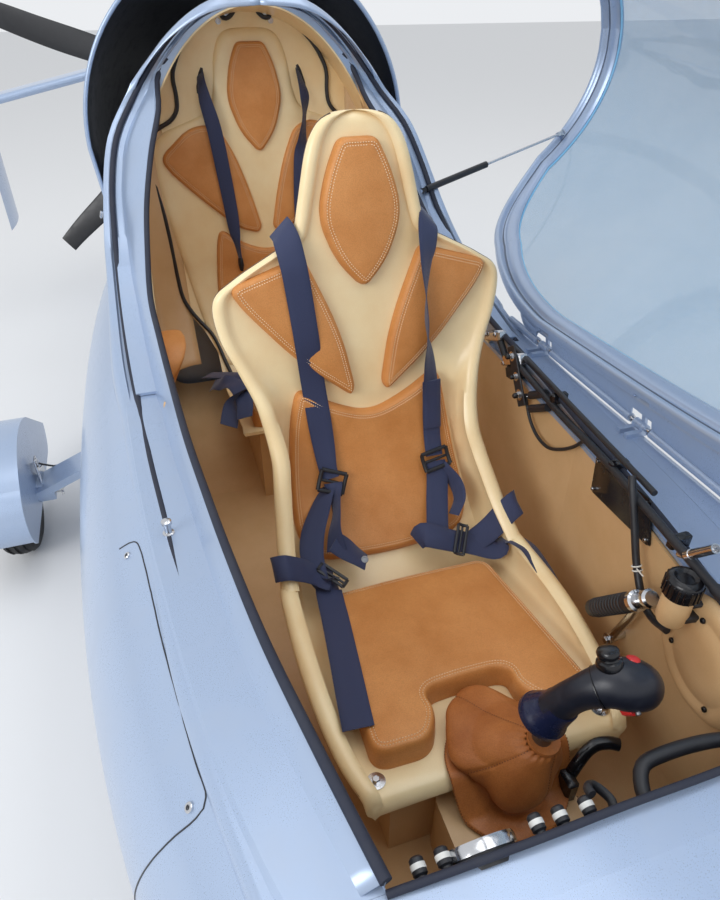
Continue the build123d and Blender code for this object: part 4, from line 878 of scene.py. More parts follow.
# Each strap: the face that it lies on, or none where its rows are places; its thickness; its rows in mm
WOVEN, SEWN = 0.0015, 0.003
STRAPS = [
    # Front starboard shoulder strap, down to its buckle, then the loose tail and the tongue
    (front_seat, WOVEN, [(154, -139, -18, 46, 1, -1, 0.1), (162, -136, 2, 46, 1, -1, 0.1),
        (176, -133, 14, 46, 1, -0.7, 0), (200, -130, 23, 46, 1, -0.3, 0), (236, -126, 28, 46, 1, -0.05, 0),
        (342, -117, 26, 46), (420, -111, 16, 46, 1, 0, -0.1), (500, -106, 26, 46),
        (560, -103, 32, 42, 1, 0, 0.15), (604, -102, 36, 36, 1, 0, 0.2), (630, -99, 38, 34, 1, 0.2, 0.2)]),
    (front_seat, WOVEN, [(640, -96, 38, 36, 1, 0.3, 0.3), (668, -98, 46, 34, 0.5, 0, 0.9),
        (705, -104, 58, 32, 0.3, 0, 1), (745, -116, 66, 34, 0.6, 0, 0.8), (790, -120, 64, 40, 0.9, 0.2, 0.4)]),
    (front_seat, WOVEN, [(650, -106, 34, 30, 0.7, 0, 0.7), (690, -130, 40, 40, 1, 0, 0.5),
        (740, -156, 52, 46, 1, 0, 0.3), (790, -168, 62, 44, 1, 0.1, 0.2), (840, -166, 64, 36, 1, 0, 0.4),
        (880, -160, 60, 28, 0.8, 0, 0.7), (905, -150, 54, 18, 0.7, 0, 0.7)]),
    # The sewn tongue with its eyelet
    (front_seat, SEWN, [(768, -122, 70, 44, 0.55, 1, 0), (800, -96, 66, 46, 0.4, 1, 0),
        (828, -70, 56, 44, 0.3, 1, 0.1)]),
    # Lap strap, starboard: round the lip, under the slide and forward over the cushion
    (front_seat, WOVEN, [(800, -222, 66, 44, 0, 1, 0.2), (806, -246, 92, 46, 0, 1, 0),
        (812, -224, 108, 46, 0, 1, 0), (822, -192, 86, 46, 0, 1, 0), (834, -168, 68, 46, 0.2, 1, 0),
        (852, -144, 62, 44, 0.6, 1, 0)]),
    (front_seat, WOVEN, [(846, -132, 62, 46, 1, -0.6, 0), (880, -150, 56, 48, 1, -0.3, 0),
        (930, -156, 50, 48, 1, -0.1, 0), (968, -160, 48.5, 48), (1030, -168, 48.5, 48),
        (1090, -176, 48.5, 48, 1, 0, 0.03), (1148, -184, 48.5, 48, 1, -0.05, 0.04),
        (1196, -190, 45.5, 48, 1, -0.05, 0.06)]),
    # Front port shoulder strap: it lies on edge in the middle and opens again at the sewn part
    (front_seat, WOVEN, [(150, 128, -18, 44, 1, 1, -0.1), (158, 125, 2, 44, 1, 1, -0.1),
        (172, 121, 15, 44, 1, 0.6, -0.1), (198, 116, 26, 44, 1, 0.2, -0.4), (232, 110, 34, 44, 0.8, 0, -0.7),
        (300, 107, 40, 44, 0.35, 0, -1), (350, 108, 40, 44, 0.25, 0, -1), (410, 114, 36, 40, 0.9, 0, -0.8),
        (460, 118, 32, 36, 1, 0, -0.35), (520, 121, 30, 36), (580, 120, 32, 36), (624, 119, 36, 36)]),
    (front_seat, SEWN, [(455, 119, 35, 38), (500, 121, 33, 38), (560, 121, 34, 37)]),
    (front_seat, WOVEN, [(636, 120, 36, 42), (676, 118, 36, 44, 1, 0, 0.1), (720, 108, 40, 44, 1, 0, 0.1),
        (760, 96, 50, 44), (800, 84, 58, 44)]),
    (front_seat, WOVEN, [(650, 130, 34, 30, 0.8, 0, 0.7), (690, 150, 46, 36, 0.5, 0, 0.9),
        (730, 150, 54, 34, 0.5, 0, 1), (765, 130, 52, 26, 0.7, 0, 0.8)]),
    # Sewn loop and lap strap, port
    (front_seat, SEWN, [(806, 40, 52, 40, 0.5, 1, 0.5), (798, 52, 66, 48, 0.3, 1, 0.2),
        (812, 78, 70, 48, 0, 1, 0), (826, 104, 66, 46, -0.1, 1, 0), (834, 128, 60, 44, -0.1, 1, 0)]),
    (front_seat, WOVEN, [(826, 118, 58, 46, 0, 1, 0), (846, 152, 56, 46, -0.1, 1, 0.1),
        (868, 190, 60, 48, -0.3, 1, 0.1), (900, 216, 74, 48, -0.6, 1, 0.2), (942, 232, 78, 48, -1, 0.7, 0.3),
        (985, 236, 66, 46, -1, 0.3, 0.3), (1020, 240, 50, 44, -1, 0.1, 0.4)]),
    (front_seat, WOVEN, [(838, 150, 52, 46, 0, 1, 0), (820, 188, 66, 48, 0.3, 1, 0.2),
        (792, 222, 96, 48, 0.2, 1, 0), (776, 244, 102, 48, 0.1, 1, 0), (768, 254, 80, 46, 0, 1, -0.3)]),
    # Rear belts: thinner and twisted, down to a clip
    (rear_seat, WOVEN, [(140, -139, 4, 24, 0.5, 0, 0.8), (160, -141, 22, 30, 0.6, 0, 0.8),
        (202, -138, 34, 36, 0.9, 0, 0.5), (276, -124, 36, 40), (365, -115, 34, 40), (473, -106, 30, 38),
        (537, -103, 30, 34, 1, 0, 0.3), (586, -100, 32, 26, 0.6, 0, 0.8), (622, -96, 34, 20, 0.4, 0, 1)]),
    (rear_seat, WOVEN, [(140, 130, 4, 24, 0.5, 0, -0.8), (160, 130, 22, 30, 0.6, 0, -0.8),
        (201, 137, 34, 34, 0.9, 0, -0.5), (252, 132, 36, 38, 0.5, 0, -0.9), (314, 121, 36, 40, 0.8, 0, -0.6),
        (361, 112, 36, 40), (460, 104, 32, 40), (560, 100, 30, 38), (640, 100, 34, 34, 1, 0, 0.4)]),
    # Rear lap strap, folded on itself beside the cushion
    (None, WOVEN, [(560, -262, 690, 44, 0.2, 1, 0.3), (610, -232, 712, 46, 0.5, 1, 0.3),
        (665, -192, 730, 46, 0.6, 0.8, 0.2), (720, -156, 734, 46, 0.9, 0.5, 0.1),
        (755, -158, 744, 44, 1, -0.3, 0.3), (768, -190, 744, 46, 1, -0.6, 0.2),
        (800, -226, 726, 46, 0.8, -0.8, 0.1), (850, -246, 700, 44, 0.3, -1, 0.2)]),
    (None, WOVEN, [(640, -256, 700, 40, 0.4, 0.6, 0.8), (690, -238, 732, 44, 0.6, 0.6, 0.6),
        (740, -206, 748, 44, 0.3, 1, 0.2), (800, -196, 738, 44, 0, 1, 0.4), (850, -206, 716, 42, 0, 1, 0.5)]),
]
belts = Heap()
for face, thick, rows in STRAPS:
    belts.add(strap(lay(face, rows), thick))
harness = belts.make("harness_webbing", navy_webbing, sharp=80)
print("harness faces:", len(harness.data.polygons))

# %% Buckles, slides and grommets
def ladder(heap, middle, width_way, run_way, width, height, thick):
    """A moulded ladder buckle: a frame of four bars with a bar across, and one side turned up."""
    width_way, run_way = Vector(width_way).normalized(), Vector(run_way).normalized()
    out = width_way.cross(run_way)
    for share in (-0.5, 0.5):
        heap.add(bar([middle + run_way * (height * share) + width_way * (width * t)
            for t in (-0.5, -0.25, 0, 0.25, 0.5)], thick, 8, 0.75, up=out))
        heap.add(bar([middle + width_way * (width * share) + run_way * (height * t)
            + out * (0.002 * (1 - abs(t) * 4)) for t in (-0.5, -0.2, 0.2, 0.5)], thick, 8, 0.9, up=out))
    heap.add(bar([middle + out * 0.003 + width_way * (width * t) for t in (-0.48, 0, 0.48)], thick * 0.72, 8, 0.8,
        up=out))


hardware = Heap()
# Down the curve, to port, off the face, turn in degrees, width, height, thickness
for s, y, lift, turn, wide, tall, thick in ((0.637, -0.098, 0.04, 22, 0.05, 0.04, 0.0042),
        (0.632, 0.12, 0.04, -10, 0.054, 0.036, 0.0042), (0.842, -0.14, 0.068, 48, 0.056, 0.016, 0.0032),
        (0.83, 0.122, 0.07, -62, 0.06, 0.018, 0.0032)):
    away, a = front_seat.normal(s), radians(turn)
    port, down = Vector((0, 1, 0)), Vector((away.z, 0, -away.x))
    ladder(hardware, front_seat.at(s, y, lift), port * cos(a) + down * sin(a), down * cos(a) - port * sin(a), wide,
        tall, thick)
hardware.add(bar([rear_seat.at(s, -0.096, lift) for s, lift in ((0.622, 0.034), (0.64, 0.038), (0.662, 0.034))],
    [0.008, 0.01, 0.006], 10, 0.6))

# A grommet is an oval ring round a slot of the rear moulding; the dark bar set below the face inside it is painted
# shade for the slot
top, foot, r = 0.12, 0.192, 0.009
half, middle = (foot - top) / 2 - r, (top + foot) / 2
for y0, y1 in ((-0.131, -0.153), (0.127, 0.149)):
    ring = []
    for k in range(33):
        a = 2 * pi * k / 32
        u, v = (half + r) * 1.4 * cos(a), copysign(r, sin(a))
        if abs(u) >= half:
            b = acos(min(1.0, (abs(u) - half) / r))
            u, v = copysign(half + r * cos(b), u), copysign(r * sin(b), v)
        ring.append(rear_seat.at(middle + u, y0 + (y1 - y0) * (middle + u - top) / (foot - top) + v, 0.001))
    hardware.add(bar(ring, 0.0042, 8))
    slot_shade = [rear_seat.at(middle + t * (foot - top) * 0.42, y0 + (y1 - y0) * (0.5 + 0.42 * t), -0.0045)
        for t in (-1, -0.5, 0, 0.5, 1)]
    hardware.add(bar(slot_shade, [0.006, 0.009, 0.009, 0.009, 0.006], 10, 0.9))
buckles = hardware.make("harness_buckles", soft_black)
Heap().add(turned(front_seat.at(0.822, -0.072, 0.06), front_seat.normal(0.82),
    [(0, 0.0042), (0, 0.0068), (0.0012, 0.0074), (0.0024, 0.0066), (0.0024, 0.0044), (0.001, 0.004)],
    24)).make("tongue_eyelet", engine_grey, slot="bright_steel")
print("hardware faces:", len(buckles.data.polygons))

# %% Bulkhead tube, bolts, and holes of the rear moulding drawn as dark discs of painted shade
tube_lines = Heap()
starboard = [(-0.01, -0.024), (0.004, -0.034), (0.014, -0.046), (0.015, -0.06), (0.0, -0.072), (0.002, -0.094),
    (0.034, -0.136), (0.076, -0.178), (0.12, -0.204), (0.15, -0.212), (0.19, -0.21), (0.222, -0.214),
    (0.246, -0.232), (0.262, -0.262), (0.276, -0.292)]
upper = starboard[::-1] + [(-0.015, 0.0)] + [(s, -y) for s, y in starboard]
tube_lines.add(bar(smooth_line([rear_seat.at(s, y, 0.004) for s, y in upper], 0.008), 0.0058, 8))
lower = [(0.33, 0.3), (0.367, 0.306), (0.42, 0.302), (0.477, 0.295), (0.547, 0.29), (0.662, 0.286), (0.73, 0.28),
    (0.775, 0.262), (0.817, 0.236), (0.85, 0.214), (0.893, 0.2), (0.946, 0.19), (0.995, 0.18)]
for side in (-1, 1):
    tube_lines.add(bar(smooth_line([rear_seat.at(s, side * y, 0.006) for s, y in lower], 0.012), 0.0058, 8))
tube_lines.make("bulkhead_edge_tube", soft_black)
fixings = Heap()
for y in (-0.052, 0.05):
    fixings.add(turned(rear_seat.at(-0.004, y, 0.0005), rear_seat.normal(0),
        mm([(0, 6), (0, 14.5), (1.6, 14.5), (2, 6)]), 28))
    cap_screw(fixings, rear_seat.at(-0.004, y, 0.002), rear_seat.normal(0), 0.0085, 0, 1)
for y in (-0.074, 0.066):
    fixings.add(turned(rear_seat.at(0.022, y, 0.0004), rear_seat.normal(0),
        mm([(0, 3.5), (0, 7.5), (1, 7.2), (1, 4.5)]), 22))
    # The dark disc inside each ring is painted shade for the hole
    fixings.add(turned(rear_seat.at(0.022, y, 0.0002), rear_seat.normal(0),
        mm([(0, 0.5), (0, 4.5), (0.5, 4.5), (0.5, 0.5)]), 18), 1)
fixings.make("bulkhead_bolts", [steel_bright, soft_black])

# %% [markdown]
# ## Control stick and its gaiter
#
# The gaiter is a leather cone sewn from four gores onto a round skirt. It is far too long for its
# height, so it folds. The folds are waves around each ring of the cone that grow towards the middle and
# die out at the sewn skirt and at the collar, and the whole cone leans with the stick.

# %% Gaiter
gaiter_base, gaiter_top = Vector((1.792, 0.01, 0.606)), Vector((1.822, 0.032, 0.748))
GORE_SEAMS = (0.35, 1.9, 3.5, 5.05)   # angles of the four sewn seams


def under_gaiter(x):
    """Height of what the skirt lies on: the seat pan's front edge, then the pedestal ahead of it."""
    pan = front_seat.at(front_seat.out_to(min(x, 1.79)), 0).z + 0.004
    share = min(1.0, max(0.0, (x - 1.788) / 0.05))
    smooth = share * share * (3 - 2 * share)
    return pan * (1 - smooth) + gaiter_base.z * smooth


# How far up the leather, radius, height, and how far the ring has slumped aft into the seat's notch
SLUMP = [(0.0, 0.091, 0.0, 0.0), (0.03, 0.09, 0.004, 0.0), (0.09, 0.085, 0.005, 0.0), (0.16, 0.076, 0.006, 0.001),
    (0.22, 0.066, 0.008, 0.004), (0.27, 0.056, 0.007, 0.008), (0.32, 0.051, 0.012, 0.014),
    (0.37, 0.054, 0.02, 0.022), (0.43, 0.063, 0.032, 0.03), (0.49, 0.069, 0.046, 0.034),
    (0.56, 0.069, 0.062, 0.032), (0.64, 0.062, 0.08, 0.024), (0.73, 0.051, 0.099, 0.014),
    (0.82, 0.04, 0.115, 0.006), (0.9, 0.031, 0.128, 0.001), (0.95, 0.0245, 0.134, 0.0), (1.0, 0.0225, 0.1385, 0.0)]
sides, rings = 144, []
for t, r, h, back in smooth_rows(SLUMP, 0.012):
    lean = max(0.0, (t - 0.5) / 0.5)
    low = min(1.0, max(0.0, (t - 0.2) / 0.5))
    slack = sin(pi * min(1.0, max(0.0, (t - 0.03) / 0.9)))
    ring = []
    for a in angles(sides):
        aft = 0.5 - 0.5 * cos(a)
        fold = 0.07 * sin(2 * a + 1.9 - 3.0 * t) + 0.06 * sin(4 * a - 0.9 + 5.0 * t) + 0.03 * sin(7 * a + 1.1
            + 8 * t)
        sharp_fold = 0.06 * abs(sin(2.5 * a + 0.7 + 3.2 * t)) - 0.03
        pucker = 0.06 * sin(18 * a) * max(0.0, (t - 0.88) / 0.12)
        near = [(a - m + pi) % (2 * pi) - pi for m in GORE_SEAMS]
        seam = -0.035 * sum(exp(-(d / 0.045) ** 2) for d in near) * min(1, max(0, t - 0.3) * 4)
        swell = 1 + 0.1 * (aft - 0.5) * slack
        size = r * (swell + (fold + sharp_fold) * slack + pucker + seam)
        x = gaiter_base.x + (gaiter_top.x - gaiter_base.x) * lean - back * aft * 1.2 + size * cos(a)
        y = gaiter_base.y + (gaiter_top.y - gaiter_base.y) * lean - back * 0.25 + size * 1.04 * sin(a)
        ground = under_gaiter(x)
        ripple = 0.007 * slack * sin(5 * a + 0.6) * (1 - t) + 0.004 * max(0.0, sin(3 * a + 2.0)) * min(1,
            t * 8) * (1 - t)
        height = (ground - gaiter_base.z) * (1 - low) + h + max(ripple, -0.3 * h)
        ring.append(Vector((x, y, gaiter_base.z + height)))
    rings.append(ring)
gaiter = Heap().add(loft(rings, caps=False))
inner = [[p + Vector((0, 0, -0.0025)) - (p - Vector((gaiter_top.x, gaiter_top.y, p.z))).normalized() * 0.0022
    for p in ring] for ring in rings[-4:]]
gaiter.add(loft(inner[::-1], caps=False))
gaiter_piece = gaiter.make("stick_gaiter", boot_leather, sharp=80)
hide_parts("control_stick")
thread = Heap()
skirt = rings[2]
thread.add(thread_form([p + Vector((0, 0, 0.001)) for p in skirt], [Vector((0, 0, 1))] * len(skirt)))
for angle in GORE_SEAMS:
    k = round(angle / (2 * pi) * sides) % sides
    line = [ring[k] for ring in rings[int(len(rings) * 0.42):-3]]
    out = [(p - Vector((gaiter_base.x, gaiter_base.y, p.z - 0.03))).normalized() for p in line]
    thread.add(thread_form([p + n * 0.0006 for p, n in zip(line, out)], out, closed=False))
brown_thread = moulded("brown_thread", (126, 78, 44), (104, 62, 34), 0.6, 0.1)
thread.make("gaiter_thread", brown_thread, slot="caramel_leather", sharp=80)
print("gaiter faces:", len(gaiter_piece.data.polygons))

# %% Grip with its flared skirt, hat switch, button and trigger
grip = Heap()
line = smooth_rows([(1.815, 0.024, 0.786, 0.0385), (1.817, 0.027, 0.796, 0.0375), (1.82, 0.031, 0.808, 0.031),
    (1.824, 0.036, 0.822, 0.0265), (1.831, 0.044, 0.846, 0.0235), (1.84, 0.055, 0.868, 0.0235),
    (1.848, 0.068, 0.882, 0.0265), (1.854, 0.084, 0.89, 0.0305), (1.859, 0.102, 0.888, 0.032),
    (1.863, 0.118, 0.88, 0.03), (1.866, 0.131, 0.871, 0.0235), (1.868, 0.139, 0.865, 0.013)], 0.004)
split = round(len(line) * 0.2)
grip.add(bar([Vector(r[:3]) for r in line[split:]], [r[3] for r in line[split:]], 28, 0.86, up=(0.8, 0.1, 0.6)))
skirt_line = smooth_rows([(1.8145, 0.025, 0.7925, 0.035), (1.8165, 0.0275, 0.799, 0.035),
    (1.8195, 0.031, 0.808, 0.031), (1.8235, 0.0355, 0.819, 0.0272), (1.8275, 0.04, 0.832, 0.0252)], 0.003)
grip.add(bar([Vector(r[:3]) for r in skirt_line], [r[3] for r in skirt_line], 36, 0.9, up=(0.8, 0.1, 0.6)), 4)
grip.add(bar([Vector(r[:3]) for r in skirt_line[:3]], [r[3] * 1.02 for r in skirt_line[:3]], 36, 0.9,
    up=(0.8, 0.1, 0.6)), 4)
# The joint of the grip's two halves
at = int(len(line) * 0.57)
place, size = Vector(line[at][:3]), line[at][3]
grip.add(turned(place, Vector(line[at + 1][:3]) - place,
    [(-0.0008, size * 0.9), (-0.0004, size * 1.012), (0.0004, size * 1.012), (0.0008, size * 0.9)], 28), 1)
hat, hat_way = Vector((1.842, 0.08, 0.913)), Vector((-0.45, -0.05, 0.9)).normalized()
grip.add(turned(hat, hat_way, mm([(-4, 15.5), (2, 16.5), (6, 15.5), (8, 12), (10, 11.5), (13, 13.5), (17, 14),
    (20, 12.5), (21.5, 8), (21.5, 1)]), 26), 1)
red, red_way = Vector((1.846, 0.11, 0.91)), Vector((-0.4, 0.25, 0.88)).normalized()
grip.add(turned(red, red_way, mm([(-4, 9), (3, 8.8), (6, 8), (7.5, 5), (7.8, 1)]), 22), 2)
grip.add(block((1.874, 0.102, 0.862), (0.012, 0.026, 0.022), (0.7, 0.2, -0.6), (0.5, 0.2, 0.9), 0.3), 2)
cap_screw(grip, (1.8285, 0.02, 0.838), (0.1, -0.95, 0.2), 0.0042, 3, 1)
cap_screw(grip, (1.8865, 0.098, 0.872), (0.9, -0.1, -0.2), 0.0035, 3, 1)
grip.add(bar([Vector((1.82, 0.03, z)) for z in (0.738, 0.76, 0.795)], 0.0135, 16), 3)
switch_red = black_plastic("switch_red", (196, 40, 40), 0.1, 0.35)
navy_gloss = black_plastic("navy_gloss", (24, 30, 58), 0.05, 0.25)
grip_black = black_plastic("grip_black", (24, 27, 38), 0.2, 0.34)
grip.make("stick_grip", [grip_black, gloss_black, switch_red, engine_grey, navy_gloss], slot="black_parts")
Heap().add(turned(gaiter_top + Vector((0, 0, -0.006)), (0.1, 0.1, 1),
    mm([(0, 19), (0, 22.5), (4, 23.2), (7, 22.2), (7, 19)]), 40)).make("gaiter_cuff", boot_leather)

# %% Hand lever and bolt beside the pedestal
lever = Heap()
lever.add(bar(path([(1828, 94, 634), (1824, 106, 652), (1818, 122, 663), (1815, 140, 667), (1819, 158, 668),
    (1824, 172, 664)], 0.006), 0.0095, 14, 0.7))
lever.add(block((1.834, 0.088, 0.618), (0.03, 0.018, 0.044)))
lever.make("brake_lever", gloss_black)
plugs = Heap()
hex_bolt(plugs, (1.846, 0.1004, 0.588), (0, 1, 0), 0.005, 0.009)
cap_screw(plugs, (1.802, 0.1004, 0.57), (0, 1, 0), 0.005, 0, 0)
plugs.make("pedestal_bolts", steel_bright)

# %% [markdown]
# ## Controls on the port wall and the panel's edge
#
# Two push-pull tubes run along the wall through their clamps to a link plate, a cable loops below them,
# and ahead are the throttle grip, the fluid reservoir and the rounded side panel. Everything stands on
# the wall or on a bracket that reaches it.

# %% Where the wall is
WALL = [(0.2, 0.372), (0.73, 0.383), (1.38, 0.35), (1.976, 0.262)]


def wall_skin(x):
    """Half width of the cockpit at x, to the middle of its wall."""
    return look_up(x, WALL, 1)


def wall(x, off=0.0):
    """Inner face of the port wall at x, moved inwards by off."""
    return wall_skin(x) - 0.006 - off


# %% Push-pull tubes, clamps, link plate and cable
rods = Heap()
rods.add(bar(path([(1100, 345, 921), (1187, 336, 923), (1335, 328, 914), (1484, 312, 923), (1612, 292, 930),
    (1718, 276, 934), (1800, 262, 940)], 0.02), 0.0068, 12))
rods.add(bar(path([(1110, 352, 940), (1203, 347, 941), (1400, 326, 946), (1628, 298, 956)], 0.02), 0.0052, 12))
rods.add(bar(mm([(1800, 262, 940), (1820, 259, 942)]), 0.0085, 12))
for x in (1.3, 1.52, 1.7):
    rods.add(block((x, wall(x) - 0.004, 0.926), (0.014, 0.034, 0.022), (1, 0, 0), (0, 0, 1)), 1)
rods.make("push_pull_tubes", [soft_black, gloss_black])

clamps = Heap()
clamps.add(block((1.022, 0.352, 0.93), (0.07, 0.022, 0.024), (0.9, 0, 0.38), (0, 0, 1)), 1)
clamps.add(block((1.126, 0.346, 0.922), (0.074, 0.024, 0.026), (0.87, 0, 0.44), (0, 0, 1)), 1)
clamps.add(block((1.132, 0.35, 0.896), (0.05, 0.03, 0.03), (0.87, 0, 0.44), (0, 0, 1)))
clamps.add(bar(mm([(1050, 350, 930), (1090, 348, 903)]), 0.0075, 12))
clamps.add(bar(mm([(1216, 338, 886), (1265, 337, 918)]), 0.0085, 14))
clamps.add(bar(mm([(1225, 338, 859), (1284, 336, 897)]), 0.0085, 14))
for x, z in ((1.0, 0.925), (1.044, 0.944), (1.098, 0.9), (1.15, 0.926)):
    cap_screw(clamps, (x, 0.339 - (x - 1.0) * 0.03, z), (0, -1, 0), 0.0058, 1, 2)
plate_way = (Vector((1.206, 0, 0.852)) - Vector((1.127, 0, 0.959))).normalized()
clamps.add(block((1.166, 0.33, 0.906), (0.004, 0.128, 0.03), (0, 1, 0), plate_way.cross(Vector((0, 1, 0))), 0.3))
for place, size in (((1.141, 0.328, 0.94), 0.0065), ((1.19, 0.328, 0.874), 0.0075), ((1.168, 0.328, 0.906), 0.006)):
    hex_bolt(clamps, Vector(place), (0, -1, 0), size, size * 1.6, 1)
    clamps.add(turned(Vector(place) + Vector((0, -0.004, 0)), (0, -1, 0),
        [(0, size * 0.8), (0.008, size * 0.8), (0.011, size * 0.5), (0.011, 0.001)], 16), 2)
clamps.add(bar(mm([(1141, 334, 940), (1120, 350, 935)]), 0.004, 10), 1)
clamps.add(bar(mm([(1190, 334, 874), (1205, 348, 872)]), 0.004, 10), 1)
clamps.make("wall_clamps", [soft_black, steel_bright, gloss_black])

loop = path([(1196, 338, 878), (1205, 340, 858), (1228, 339, 832), (1264, 337, 816), (1310, 334, 819),
    (1356, 331, 846), (1394, 328, 879), (1420, 326, 912)], 0.01)
Heap().add(bar(loop, 0.0036, 10)).make("wall_cable", soft_black)

# %% Placard without text, lever tube and throttle
plate = Heap()
corners = [(1.463, 0.828), (1.454, 0.9), (1.62, 0.934), (1.648, 0.862)]
middle = Vector((sum(c[0] for c in corners) / 4, 0, sum(c[1] for c in corners) / 4))
rings = []
for lift, grow in ((0.001, 1.0), (0.0035, 1.0), (0.0045, 0.985), (0.0045, 0.3)):
    ring = []
    for i in range(4):
        a, b = corners[i], corners[(i + 1) % 4]
        for t in (0.04, 0.5, 0.96):
            x, z = middle.x + (a[0] + (b[0] - a[0]) * t - middle.x) * grow, middle.z + (a[1]
                + (b[1] - a[1]) * t - middle.z) * grow
            ring.append(Vector((x, wall(x, lift), z)))
    rings.append(ring)
plate.add(loft(rings))
for x, z in ((1.47, 0.838), (1.464, 0.895), (1.612, 0.924), (1.636, 0.868)):
    cap_screw(plate, (x, wall(x, 0.0045), z), (-0.13, -1, 0), 0.0035, 1, 0)
plate.make("wall_placard", [gloss_black, steel_bright])

throttle = Heap()
throttle.add(bar(path([(1585, 290, 958), (1599, 284, 944), (1631, 279, 891), (1659, 275, 844), (1694, 270, 806),
    (1723, 266, 798), (1759, 262, 810)], 0.01), 0.006, 12))
low, high = Vector((1.624, 0.252, 0.715)), Vector((1.732, 0.24, 0.857))
way = (high - low).normalized()
throttle.add(turned(low, way, mm([(-4, 4), (-3, 12), (0, 15), (20, 15.5), (60, 15), (110, 15.2), (128, 14.8),
    (134, 12.5)]), 28))
for k in range(11):
    far = 0.016 + k * 0.0095
    throttle.add(turned(low + way * far, way,
        [(-0.0022, 0.0145), (-0.0012, 0.0164), (0.0012, 0.0164), (0.0022, 0.0145)], 28))
throttle.add(turned(low + way * 0.134, way,
    mm([(0, 9), (0, 16.5), (10, 16.5), (12, 12.5), (30, 12), (33, 14), (46, 14.5), (50, 11), (50, 2)]), 28), 1)
throttle.add(bar(path([(1711, 250, 829), (1700, 258, 800), (1689, 264, 760), (1672, 270, 712), (1656, 276, 664)],
    0.01), 0.0072, 12, 0.8), 1)
hex_bolt(throttle, (1.656, 0.27, 0.664), (-0.13, -1, 0), 0.007, 0.012, 1)
throttle.add(bar([(1.656, 0.272, 0.664), (1.652, wall(1.652), 0.664)], 0.008, 12), 1)
throttle.make("throttle_lever", [soft_black, steel_bright])
tie = Heap()
for far in (0.0, 0.004):
    centre = Vector((1.66 + far, 0.2745, 0.843 - far * 1.4))
    tie.add(bar([centre + Vector((0.0072 * cos(a) * 0.8, 0.0072 * sin(a), 0.0072 * cos(a) * 0.55))
        for a in angles(24) + [2 * pi]], 0.0012, 6))
tie.add(bar(mm([(1668, 268, 846), (1688, 262, 852)]), 0.0011, 6))
pale_plastic = moulded("pale_plastic", (236, 234, 226), (224, 222, 214), 0.4, 0.0)
tie.make("cable_tie", pale_plastic, slot="liner_paint")

# %% Reservoir, hollow end tube and the side panel
reservoir = Heap()
centre = Vector((1.768, 0.246, 0.902))
reservoir.add(turned(centre, (0, 0, 1),
    mm([(0, 4), (0, 21.5), (3, 24.5), (28, 24.5), (32, 21.5), (34, 16), (30, 11), (30, 2)]), 40), 0)
for a in angles(20):
    reservoir.add(block(centre + Vector((0.0246 * cos(a), 0.0246 * sin(a), 0.0155)), (0.0026, 0.003, 0.024),
        (cos(a), sin(a), 0), (0, 0, 1), 0.3), 0)
reservoir.add(turned(centre + Vector((0, 0, -0.05)), (0, 0, 1),
    mm([(0, 10), (0, 19), (6, 21), (44, 21), (50, 18)]), 36), 1)
reservoir.add(block((1.77, 0.262, 0.866), (0.04, 0.036, 0.012), (1, -0.13, 0), (0, 0, 1)), 2)
reservoir.add(block((1.77, 0.262, 0.892), (0.036, 0.036, 0.006), (1, -0.13, 0), (0, 0, 1)), 2)
reservoir.make("fluid_reservoir", [gloss_black, liner_tan, soft_black])

ends = Heap()
low, high = Vector((1.737, 0.272, 0.938)), Vector((1.779, 0.262, 0.992))
way, run = (high - low).normalized(), (high - low).length
ends.add(turned(low, way, [(0.0, 0.004), (0.0, 0.0078), (0.012, 0.0078), (0.013, 0.0068), (run, 0.0068),
    (run, 0.005), (run - 0.014, 0.005), (run - 0.014, 0.001)], 24))
ends.add(bar([low - way * 0.004, Vector((1.722, 0.275, 0.926))], 0.0055, 12))
ends.make("hollow_end_tube", steel_bright)

side_panel = Heap()
PANEL = [(1.742, 0.772), (1.74, 0.812), (1.748, 0.852), (1.766, 0.882), (1.796, 0.899), (1.832, 0.9),
    (1.868, 0.888), (1.892, 0.862), (1.902, 0.824), (1.898, 0.786), (1.882, 0.756), (1.852, 0.738), (1.812, 0.732),
    (1.772, 0.744)]
middle, widest = Vector((1.822, 0, 0.816)), 1.06
rim = smooth_rows([(middle.x + (x - middle.x) * widest, 0, middle.z + (z - middle.z) * widest)
    for x, z in PANEL + PANEL[:1]], 0.006 * widest)
base = [((r[0] - middle.x) / widest, (r[2] - middle.z) / widest) for r in rim[:-1]]
rings = [[Vector((middle.x + dx * grow, wall(middle.x + dx * grow, lift), middle.z + dz * grow))
    for dx, dz in base] for grow, lift in ((widest, 0.0005), (1.05, 0.006), (1.02, 0.012), (0.97, 0.0145),
    (0.9, 0.0155), (0.8, 0.015), (0.74, 0.0135), (0.7, 0.0135), (0.66, 0.0155), (0.35, 0.0165), (0.05, 0.0168))]
side_panel.add(loft(rings))
for x, z in ((1.765, 0.792), (1.8, 0.876), (1.872, 0.846), (1.86, 0.764)):
    cap_screw(side_panel, (x, wall(x, 0.015), z), (-0.13, -1, 0), 0.0042, 1, 1)
side_panel.make("side_panel", [liner_tan, gloss_black])
print("port wall built")

